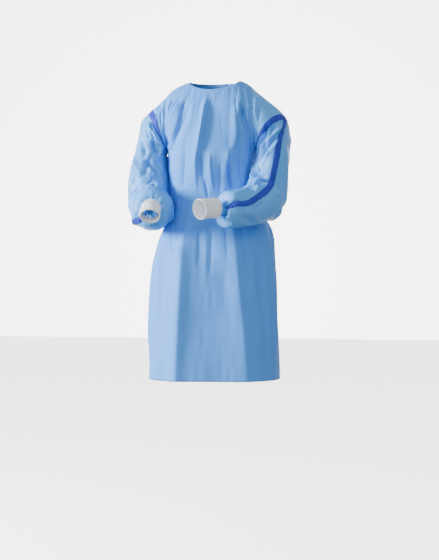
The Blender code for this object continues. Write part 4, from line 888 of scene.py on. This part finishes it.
class Recipe(Nodes):
    """A material's nodes."""

    def __init__(self, name, roughness, specular=0.5):
        self.material = bpy.data.materials.new(name)
        self.material.use_nodes = True
        super().__init__(self.material.node_tree)
        self.shader = self.tree.nodes["Principled BSDF"]
        self.shader.inputs["Roughness"].default_value = roughness
        self.shader.inputs["Specular IOR Level"].default_value = specular

    def place(self, stretch=(1.0, 1.0, 1.0), turn=(0.0, 0.0, 0.0)):
        """The surface's own coordinates in metres, stretched and turned."""
        at = self.add("ShaderNodeTexCoord", output="Object")
        return self.add("ShaderNodeMapping", {}, {"Vector": at, "Scale": stretch, "Rotation": turn})

    def noise(self, scale, detail=2.0, roughness=0.5, where=None):
        values = {"Scale": scale, "Detail": detail, "Roughness": roughness}
        values["Vector"] = where or self.place()
        return self.add("ShaderNodeTexNoise", {}, values, "Fac")

    def between(self, factor, first, second):
        """Mixes two colours."""
        return self.add(
            "ShaderNodeMix",
            {"data_type": "RGBA", "clamp_factor": True},
            {"Factor": factor, "A": first, "B": second},
            "Result",
        )

    def bump(self, height, distance, strength=1.0, under=None):
        values = {"Height": height, "Distance": distance, "Strength": strength}
        if under is not None:
            values["Normal"] = under
        return self.add("ShaderNodeBump", {}, values)

    def finish(self, colour=None, rough=None, normal=None):
        for key, value in (("Base Color", colour), ("Roughness", rough), ("Normal", normal)):
            if value is not None:
                self.put(self.shader.inputs[key], value)
        return self.material


def shade(colour, factor):
    """A lighter or darker version of a colour."""
    return tuple(min(channel * factor, 1.0) for channel in colour[:3]) + (1.0,)


def nonwoven(name, colour):
    """Matte spunbond cloth: point bonds a millimetre or two apart, fibre streaks and clouding."""
    recipe = Recipe(name, 0.72, 0.18)
    recipe.shader.inputs["Sheen Weight"].default_value = 0.04
    recipe.shader.inputs["Sheen Roughness"].default_value = 0.5
    cloud = recipe.noise(14.0, 3.0, 0.55)
    streaks = recipe.noise(520.0, 3.0, 0.6, recipe.place((1.0, 1.0, 0.25)))
    speckle = recipe.noise(1500.0, 1.0, 0.5)
    spots = {"Scale": 620.0, "Randomness": 0.18, "Vector": recipe.place()}
    bonds = recipe.add("ShaderNodeTexVoronoi", {}, spots)
    mix = 0.55 * cloud + 0.25 * streaks
    tone = recipe.between(mix, shade(colour, 0.86), shade(colour, 1.10))
    tone = recipe.between(0.10 * speckle, tone, shade(colour, 0.55))
    rough = 0.62 + 0.18 * streaks
    slack = recipe.bump(recipe.noise(70.0, 3.0, 0.55), 0.0012, 0.5)
    normal = recipe.bump(0.7 * bonds + 0.5 * streaks, 0.00022, 0.55, slack)
    return recipe.finish(tone, rough, normal)


def laminate(name, colour):
    """Nonwoven with a film on it: satin, with small crumples that catch the light."""
    recipe = Recipe(name, 0.45, 0.24)
    recipe.shader.inputs["Coat Weight"].default_value = 0.07
    recipe.shader.inputs["Coat Roughness"].default_value = 0.28
    cloud = recipe.noise(16.0, 2.0, 0.5)
    fibres = recipe.noise(640.0, 3.0, 0.6, recipe.place((1.0, 1.0, 0.4)))
    mix = 0.6 * cloud + 0.2 * fibres
    tone = recipe.between(mix, shade(colour, 0.88), shade(colour, 1.10))
    rough = 0.40 + 0.16 * recipe.noise(60.0, 3.0, 0.6)
    wide = recipe.noise(34.0, 2.0, 0.5, recipe.place((1.0, 1.0, 0.6), (0.4, 0.2, 0.3)))
    narrow = recipe.noise(95.0, 2.0, 0.55, recipe.place((1.0, 0.8, 0.5), (0.2, 0.5, 0.1)))
    ridge = 1.0 - (2.0 * wide - 1.0) ** 2.0
    lines = 1.0 - (2.4 * narrow - 1.2) ** 2.0
    crumple = recipe.bump(0.8 * ridge + 0.25 * lines, 0.0026, 0.4)
    normal = recipe.bump(fibres, 0.00012, 0.5, crumple)
    return recipe.finish(tone, rough, normal)


def sealed_tape(name, colour):
    """Heat sealed seam tape: deep colour, smooth, with small bubbles and heat marks."""
    recipe = Recipe(name, 0.60, 0.14)
    cloud = recipe.noise(60.0, 3.0, 0.6)
    tone = recipe.between(cloud, shade(colour, 0.72), shade(colour, 1.35))
    rough = 0.50 + 0.18 * recipe.noise(180.0, 2.0, 0.6)
    marks = recipe.bump(recipe.noise(110.0, 3.0, 0.6), 0.0012, 0.5)
    normal = recipe.bump(recipe.noise(900.0, 1.0, 0.5), 0.0001, 0.4, marks)
    return recipe.finish(tone, rough, normal)


def rib_knit(name, colour):
    """Knit cuff: small loops on ribs."""
    recipe = Recipe(name, 0.85, 0.25)
    recipe.shader.inputs["Sheen Weight"].default_value = 0.3
    spots = {"Scale": 700.0, "Vector": recipe.place((1.0, 1.0, 0.6))}
    loops = recipe.add("ShaderNodeTexVoronoi", {}, spots)
    fuzz = recipe.noise(1100.0, 3.0, 0.7)
    cloud = recipe.noise(40.0, 2.0, 0.5)
    mix = 0.5 * cloud + 0.4 * fuzz
    tone = recipe.between(mix, shade(colour, 0.82), shade(colour, 1.06))
    normal = recipe.bump(0.8 * loops + 0.4 * fuzz, 0.0005, 0.7)
    return recipe.finish(tone, 0.78 + 0.15 * fuzz, normal)


class GownSizes(bpy.types.PropertyGroup):
    cloth_thickness: FloatProperty(
        name="Cloth thickness", description="Thickness of the cloth and the film", default=0.0006,
        min=0.0002, max=0.002, unit="LENGTH",
    )
    tape_width: FloatProperty(
        name="Tape width", description="Width of the sealed tapes", default=0.019,
        min=0.008, max=0.03, unit="LENGTH",
    )
    tape_thickness: FloatProperty(
        name="Tape thickness", description="Thickness of the sealed tapes", default=0.0004,
        min=0.0002, max=0.001, unit="LENGTH",
    )
    crease_depth: FloatProperty(
        name="Crease depth", description="Depth of the crisp creases, as a share", default=1.0,
        min=0.0, max=1.5, subtype="FACTOR",
    )
    cuff_ribs: IntProperty(
        name="Cuff ribs", description="Ribs round each knit cuff", default=46, min=20, max=80,
    )


class GownColours(bpy.types.PropertyGroup):
    body: FloatVectorProperty(
        name="Body cloth", description="Colour of the nonwoven panels", subtype="COLOR",
        default=(0.072, 0.285, 0.78), min=0.0, max=1.0,
    )
    sleeve: FloatVectorProperty(
        name="Sleeve film", description="Colour of the laminated sleeves", subtype="COLOR",
        default=(0.078, 0.330, 0.80), min=0.0, max=1.0,
    )
    tape: FloatVectorProperty(
        name="Seam tape", description="Colour of the sealed tapes", subtype="COLOR",
        default=(0.020, 0.045, 0.36), min=0.0, max=1.0,
    )
    knit: FloatVectorProperty(
        name="Cuff knit", description="Colour of the knit cuffs", subtype="COLOR",
        default=(0.80, 0.84, 0.88), min=0.0, max=1.0,
    )


def settle(piece, material, slot_name, *nodes):
    """Gives a piece its material and puts it in the place of its nodes."""
    piece.data.materials.append(material)
    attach(piece, "root")
    if nodes:
        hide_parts(*nodes)
    return piece


def body_levels(upper, lower):
    """Rows of the panels, even down the armhole and even below it."""
    step = np.arange(upper) / upper
    drop = 0.4 * step + 0.6 * (1.0 - np.cos(math.pi * step)) / 2.0
    return np.concatenate([drop, np.linspace(1.0, 2.0, lower)])


def lap_ramp(angle):
    """How far the outer back panel has risen over the other, from 0 to 1."""
    return smooth_step((angle - LAP_RAMP_START) / (LAP_RAMP_END - LAP_RAMP_START))


class GOWN_OT_panels(bpy.types.Operator):
    """Add the front panel and the two lapped back panels"""

    bl_idname = "gown.panels"
    bl_label = "Body panels"

    def execute(self, context):
        sizes, colours = context.scene.gown_sizes, context.scene.gown_colours
        cloth = nonwoven("body cloth", colours.body)
        thick = sizes.cloth_thickness
        levels = body_levels(UPPER_ROWS, LOWER_ROWS)
        across = np.linspace(-SIDE_SEAM, SIDE_SEAM, FRONT_COLUMNS)
        angle, level = np.meshgrid(across, levels)
        front = add_grid("front_panel", torso_point(angle, level), thickness=thick)
        settle(front, cloth, "body_cloth", "front")
        for side, sign in (("left", 1.0), ("right", -1.0)):
            at = np.linspace(SIDE_SEAM + 0.00001, 180.0 + LAP, BACK_COLUMNS)
            angle, level = np.meshgrid(sign * at, levels)
            rise = LAP_RISE * lap_ramp(at)
            lift = np.broadcast_to(rise if side == "left" else 0.0, angle.shape)
            points = torso_point(angle, level, lift)
            back = add_grid("back_panel_" + side, points, thickness=thick)
            settle(back, cloth, "body_cloth", "back_" + side)
        return {"FINISHED"}


class GOWN_OT_sleeves(bpy.types.Operator):
    """Add the shoulder caps and the sleeves"""

    bl_idname = "gown.sleeves"
    bl_label = "Caps and sleeves"

    def execute(self, context):
        sizes, colours = context.scene.gown_sizes, context.scene.gown_colours
        film = laminate("sleeve film", colours.sleeve)
        for side in ("left", "right"):
            last = sleeve_last(side)
            around = np.linspace(0.0, 360.0, SLEEVE_COLUMNS + 1)[:-1]
            for node, start, end, rows, cut, area in (
                ("shoulder_cap_", 0.0, CAP_SEAM, CAP_ROWS, CAP_CUT, CAP_AREA),
                ("sleeve_", CAP_SEAM, last, SLEEVE_ROWS, SLEEVE_CUT, SLEEVE_AREA),
            ):
                angle, section = np.meshgrid(around, np.linspace(start, end, rows))
                points = sleeve_point(side, section, angle)
                name = node + "piece_" + side
                piece = add_grid(name, points, closed=True, thickness=sizes.cloth_thickness)
                settle(piece, film, "sleeve_film", node + side)
        return {"FINISHED"}


def tape_edge(place, seed):
    """How a tape's edge strays from straight, as a share of its width."""
    wide = wander(place * 18.0, place * 0.0 + 3.0, seed)
    narrow = wander(place * 60.0, place * 0.0, seed + 1)
    return 1.0 + 0.07 * wide + 0.03 * narrow


class GOWN_OT_tapes(bpy.types.Operator):
    """Add the round tape over each cap seam and the long tape down each sleeve"""

    bl_idname = "gown.tapes"
    bl_label = "Sealed tapes"

    def execute(self, context):
        sizes, colours = context.scene.gown_sizes, context.scene.gown_colours
        tape = sealed_tape("seam tape", colours.tape)
        across = np.linspace(-1.0, 1.0, TAPE_COLUMNS)
        width, thick = sizes.tape_width, sizes.tape_thickness
        lift = sizes.cloth_thickness / 2.0 + thick / 2.0 + TAPE_GAP
        for side in ("left", "right"):
            last = sleeve_last(side)
            turn = np.linspace(0.0, 360.0, RING_TAPE_ROWS + 1)[:-1]
            before = sleeve_base(side, np.full(turn.shape, CAP_SEAM - PROBE_SECTIONS), turn)
            after = sleeve_base(side, np.full(turn.shape, CAP_SEAM + PROBE_SECTIONS), turn)
            metres = np.linalg.norm(after - before, axis=-1) / (2.0 * PROBE_SECTIONS)
            half = np.minimum(width / 2.0 / metres, 0.5)
            edge = tape_edge(np.abs(turn - 180.0) / 180.0 * 3.0, 31)
            section = CAP_SEAM + across[:, None] * (half * edge)[None, :]
            points = sleeve_point(side, section, np.broadcast_to(turn, section.shape), lift)
            ring = add_grid("round_tape_" + side, points, closed=True, thickness=thick)
            settle(ring, tape, "seam_tape", "armhole_tape_" + side)
            at = np.linspace(LONG_TAPE_START, last - LONG_TAPE_SHORT, LONG_TAPE_ROWS)
            tape_at = through_rows(SLEEVE_SECTIONS[side], at)[:, 8]
            near = sleeve_base(side, at, tape_at - PROBE_DEGREES)
            far = sleeve_base(side, at, tape_at + PROBE_DEGREES)
            metres = np.linalg.norm(far - near, axis=-1) / (2.0 * PROBE_DEGREES)
            half = width / 2.0 / metres * tape_edge(at / 3.0, 37)
            angle = tape_at[:, None] + half[:, None] * across[None, :]
            section = np.broadcast_to(at[:, None], angle.shape)
            points = sleeve_point(side, section, angle, lift + LONG_TAPE_RISE)
            strip = add_grid("long_tape_" + side, points, thickness=thick)
            settle(strip, tape, "seam_tape", "sleeve_tape_" + side)
        return {"FINISHED"}


class GOWN_OT_cuffs(bpy.types.Operator):
    """Add the ribbed knit cuffs"""

    bl_idname = "gown.cuffs"
    bl_label = "Knit cuffs"

    def execute(self, context):
        sizes, colours = context.scene.gown_sizes, context.scene.gown_colours
        knit = rib_knit("cuff knit", colours.knit)
        for side in ("left", "right"):
            last = sleeve_last(side)
            around = np.linspace(0.0, 360.0, 65)[:-1]
            ring = sleeve_base(side, np.full(around.shape, last), around)
            centre = ring.mean(axis=0)
            first_axis = unit(np.cross(ring[16] - centre, ring[32] - centre))
            heading = unit(np.array(CUFF_TURN[side]))
            if np.dot(first_axis, heading) < 0.0:
                first_axis = -first_axis
            columns = sizes.cuff_ribs * COLUMNS_A_RIB
            turn = np.arange(columns) * 2.0 * math.pi / columns
            rows = np.linspace(0.0, 1.0, CUFF_ROWS)
            start = unit(ring[0] - centre)
            where = centre - first_axis * CUFF_TUCK
            rings = []
            for i, row in enumerate(rows):
                axis = unit(first_axis * (1.0 - row) + heading * row)
                if i:
                    where = where + axis * (CUFF_LENGTH + CUFF_TUCK) * (row - rows[i - 1])
                side_way = unit(start - axis * np.dot(start, axis))
                beside = np.cross(axis, side_way)
                spokes = np.cos(turn)[:, None] * side_way + np.sin(turn)[:, None] * beside
                swell = 0.965 + 0.045 * smooth_step(row / 0.2)
                radius = CUFF_RADIUS * (swell + 0.02 * math.cos(row * 2.0 * math.pi))
                rib = RIB_HEIGHT * np.cos(turn * sizes.cuff_ribs)
                level = np.full(turn.shape, row * 5.0)
                slack = CUFF_SLACK * wander(turn / math.pi * 4.0 + 8.0, level, 51, 8)
                turned_in = -CUFF_EDGE * smooth_step((row - 0.95) / 0.05)
                rings.append(where + spokes * (radius + rib + slack + turned_in)[:, None])
            points = np.array(rings)
            cuff = add_grid("knit_cuff_" + side, points, closed=True, thickness=CUFF_THICKNESS)
            settle(cuff, knit, "cuff_knit", "cuff_" + side)
        return {"FINISHED"}


def on_body(angles, heights, lift):
    """Points of a strip that lies on the torso: a row for each height, a column for each angle."""
    angle, height = np.meshgrid(angles, heights)
    level = 1.0 + (height - ARMPIT_Z) / (HEM_Z - ARMPIT_Z)
    return torso_point(angle, level, np.broadcast_to(lift, angle.shape))


class GOWN_OT_ties(bpy.types.Operator):
    """Add the waist ties, their knot and loose ends, and the neck tab"""

    bl_idname = "gown.ties"
    bl_label = "Ties and tab"

    def execute(self, context):
        sizes, colours = context.scene.gown_sizes, context.scene.gown_colours
        cloth = nonwoven("tie cloth", shade(colours.body, 1.08))
        thick = TIE_THICKNESS
        over = sizes.cloth_thickness / 2.0 + thick / 2.0 + TIE_GAP
        heights = WAIST_Z + TIE_HALF_WIDTH * np.linspace(1.0, -1.0, TIE_ROWS)
        at = np.linspace(TIE_START, TIE_END, TIE_COLUMNS)
        late = smooth_step((at - TIE_CLIMB_START) / TIE_CLIMB)
        ends = []
        for side, angles, rise in (
            ("left", at, LAP_RISE * lap_ramp(at)),
            ("right", -at, LAP_RISE * TIE_CLIMB_SHARE * late),
        ):
            crown = TIE_CROWN * (1.0 - np.linspace(-1.0, 1.0, TIE_ROWS) ** 6)[:, None]
            wrinkle = TIE_WRINKLE * wander(at / 3.0, at * 0.0, 61)[None, :]
            points = on_body(angles, heights, over + rise[None, :] + crown + wrinkle)
            tie = add_grid("waist_tie_piece_" + side, points, thickness=thick)
            settle(tie, cloth, "tie_cloth", "waist_tie_" + side)
            "back_panel_" + side
            ends.append(points[:, -8:].reshape(-1, 3))
        under = np.concatenate(ends)
        lean, level_y = np.polyfit(under[:, 2] - WAIST_Z, under[:, 1], 1)
        knot_y = level_y + thick / 2.0 + KNOT_GAP + KNOT_SIZE[1] / 2.0
        self.add_knot(cloth, np.array([CENTRE_X, knot_y, WAIST_Z]), lean)
        for side, sign in (("left", 1.0), ("right", -1.0)):
            self.add_loose_end(cloth, side, sign, knot_y, thick)
        self.add_tab(cloth, thick, over)
        return {"FINISHED"}

    def add_knot(self, cloth, centre, lean):
        """A pulled-tight knot: a rounded block with the folds of the tie wound across it."""
        circle = np.linspace(0.0, 2.0 * math.pi, KNOT_COLUMNS + 1)[:-1]
        around, along = np.meshgrid(circle, np.linspace(-1.0, 1.0, KNOT_ROWS))
        round_off = (1.0 - np.abs(along) ** 3.2) ** (1.0 / 3.2)
        cosine, sine = np.cos(around), np.sin(around)
        reach = (np.abs(cosine) ** 3.0 + np.abs(sine) ** 3.0) ** (-1.0 / 3.0)
        turns = np.sin(along * 7.0 + sine * 2.2) * 0.5
        turns = turns + np.sin(along * 13.0 - cosine * 3.0) * 0.25
        swell = 1.0 + KNOT_SWELL * turns * (1.0 - along**4)
        x = along * KNOT_SIZE[0] / 2.0
        y = cosine * reach * round_off * swell * KNOT_SIZE[1] / 2.0
        z = sine * reach * round_off * swell * KNOT_SIZE[2] / 2.0
        points = np.stack([x, y + lean * z, z], axis=-1) + centre
        knot = add_grid("knot", points, closed=True)
        settle(knot, cloth, "tie_cloth", "tie_knot")

    def add_loose_end(self, cloth, side, sign, knot_y, thick):
        """A free end of the tie that hangs from the knot, a little twisted."""
        steps = np.linspace(0.0, 1.0, END_ROWS)
        height = WAIST_Z - KNOT_SIZE[2] / 2.0 + 0.002 - steps * TIE_FREE_LENGTH[side]
        behind = torso_ring(np.full(height.shape, 180.0), height)[:, 1] + TIE_STAND_OFF
        first = smooth_step(steps / 0.25)
        reach = knot_y * (1.0 - first) + behind * first
        sway = sign * (TIE_HALF_WIDTH * 0.95 + TIE_SWAY * smooth_step(steps * 1.3))
        path = np.stack([CENTRE_X + sway, reach, height], axis=-1)
        twist = sign * (0.10 + 0.55 * smooth_step(steps * 1.2) * np.sin(steps * 5.0))
        across = np.stack([np.cos(twist), np.sin(twist), 0.0 * twist], axis=-1)
        width = np.linspace(-1.0, 1.0, END_COLUMNS)
        narrow = 0.62 + 0.30 * smooth_step(steps / 0.2)
        beside = width[None, :] * (narrow * TIE_HALF_WIDTH)[:, None]
        points = path[:, None, :] + beside[..., None] * across[:, None, :]
        points[..., 1] += END_BULGE * (1.0 - width**2)[None, :] * np.sin(steps * 9.0)[:, None]
        end = add_grid("loose_end_" + side, points, thickness=thick)
        settle(end, cloth, "tie_cloth", "tie_end_" + side)

    def add_tab(self, cloth, thick, over):
        """The tab that closes the lap at the back of the neck."""
        along = np.linspace(TAB_START, TAB_END, TAB_COLUMNS)
        angle, level = np.meshgrid(along, np.linspace(TAB_TOP, TAB_LOW, TAB_ROWS))
        past = 180.0 + LAP
        rise = LAP_RISE * lap_ramp(angle) * (1.0 - smooth_step((angle - past) / TAB_FALL))
        tab = add_grid("neck_tab_piece", torso_point(angle, level, over + rise), thickness=thick)
        settle(tab, cloth, "tie_cloth", "neck_tab")


class GOWN_OT_stage(bpy.types.Operator):
    """Add the pale floor, the studio light and the camera"""

    bl_idname = "gown.stage"
    bl_label = "Stage"

    def execute(self, context):
        bpy.ops.mesh.primitive_plane_add(size=FLOOR_SIZE, location=(0.0, 0.0, FLOOR_Z))
        floor = context.object
        floor.name = "floor"
        paint = Recipe("floor paint", 0.9, 0.1)
        greys = (0.90, 0.90, 0.90, 1.0), (0.93, 0.93, 0.93, 1.0)
        tone = paint.between(paint.noise(0.6, 2.0), *greys)
        paint.shader.inputs["Emission Color"].default_value = (1.0, 1.0, 1.0, 1.0)
        paint.shader.inputs["Emission Strength"].default_value = FLOOR_GLOW
        floor.data.materials.append(paint.finish(tone))
        floor.visible_diffuse = False
        floor.visible_glossy = False
        self.add_surround(context)
        for name, location, size, power in LAMPS:
            self.add_light(name, location, size, power)
        self.add_camera(context)
        return {"FINISHED"}

    def add_surround(self, context):
        """White studio walls: brightest behind, darker towards the front right."""
        world = bpy.data.worlds.new("studio")
        context.scene.world = world
        world.use_nodes = True
        nodes = Nodes(world.node_tree)
        way = nodes.add("ShaderNodeTexCoord")

        def facing(direction):
            turn = {"operation": "DOT_PRODUCT"}
            dot = nodes.add("ShaderNodeVectorMath", turn, {0: way, 1: direction}, 1)
            return dot.math("MAXIMUM", dot, 0.0)

        bright = WALL_LIGHT + CEILING_LIGHT * facing((0.0, 0.0, 1.0))
        bright = bright + LIT_SIDE_LIGHT * facing(LIT_SIDE)
        bright = bright + BACK_WALL_LIGHT * facing(BACK_WALL) ** 8.0
        sky = world.node_tree.nodes["Background"]
        sky.inputs["Color"].default_value = (1.0, 1.0, 1.0, 1.0)
        nodes.put(sky.inputs["Strength"], bright)

    def add_light(self, name, location, size, power):
        light = bpy.data.lights.new(name, "AREA")
        light.size = size
        light.energy = power
        lamp = bpy.data.objects.new(name, light)
        lamp.location = location
        away = Vector(location) - Vector(LAMP_TARGET)
        lamp.rotation_euler = away.to_track_quat("Z", "Y").to_euler()
        bpy.context.scene.collection.objects.link(lamp)

    def add_camera(self, context):
        turn = math.radians(VIEW_AZIMUTH)
        back = Vector((math.sin(turn), -math.cos(turn), 0.0))
        aside = Vector((math.cos(turn), math.sin(turn), 0.0))
        camera = bpy.data.cameras.new("camera")
        camera.sensor_width = 36.0
        camera.lens = VIEW_LENS
        holder = bpy.data.objects.new("camera", camera)
        holder.location = Vector((0.0, 0.0, VIEW_HEIGHT)) + back * VIEW_DISTANCE
        holder.location += aside * VIEW_ASIDE
        holder.rotation_euler = back.to_track_quat("Z", "Y").to_euler()
        context.scene.collection.objects.link(holder)
        context.scene.camera = holder


OPERATORS = (
    GOWN_OT_panels, GOWN_OT_sleeves, GOWN_OT_tapes, GOWN_OT_cuffs, GOWN_OT_ties, GOWN_OT_stage,
)


class GOWN_PT_sidebar(bpy.types.Panel):
    """Sizes, colours and pieces of the gown"""

    bl_idname = "GOWN_PT_sidebar"
    bl_label = "Disposable gown"
    bl_space_type = "VIEW_3D"
    bl_region_type = "UI"
    bl_category = "Gown"

    def draw(self, context):
        for group in (context.scene.gown_sizes, context.scene.gown_colours):
            box = self.layout.box()
            for name in group.bl_rna.properties.keys():
                if name not in ("rna_type", "name"):
                    box.prop(group, name)
        for operator in OPERATORS:
            self.layout.operator(operator.bl_idname)


CLASSES = (GownSizes, GownColours) + OPERATORS + (GOWN_PT_sidebar,)


def register():
    for each in CLASSES:
        bpy.utils.register_class(each)
    bpy.types.Scene.gown_sizes = PointerProperty(type=GownSizes)
    bpy.types.Scene.gown_colours = PointerProperty(type=GownColours)


def unregister():
    del bpy.types.Scene.gown_colours
    del bpy.types.Scene.gown_sizes
    for each in reversed(CLASSES):
        bpy.utils.unregister_class(each)


def main():
    register()
    bpy.ops.gown.panels()
    bpy.ops.gown.sleeves()
    bpy.ops.gown.tapes()
    bpy.ops.gown.cuffs()
    bpy.ops.gown.ties()
    bpy.ops.gown.stage()


if __name__ == "__main__":
    main()
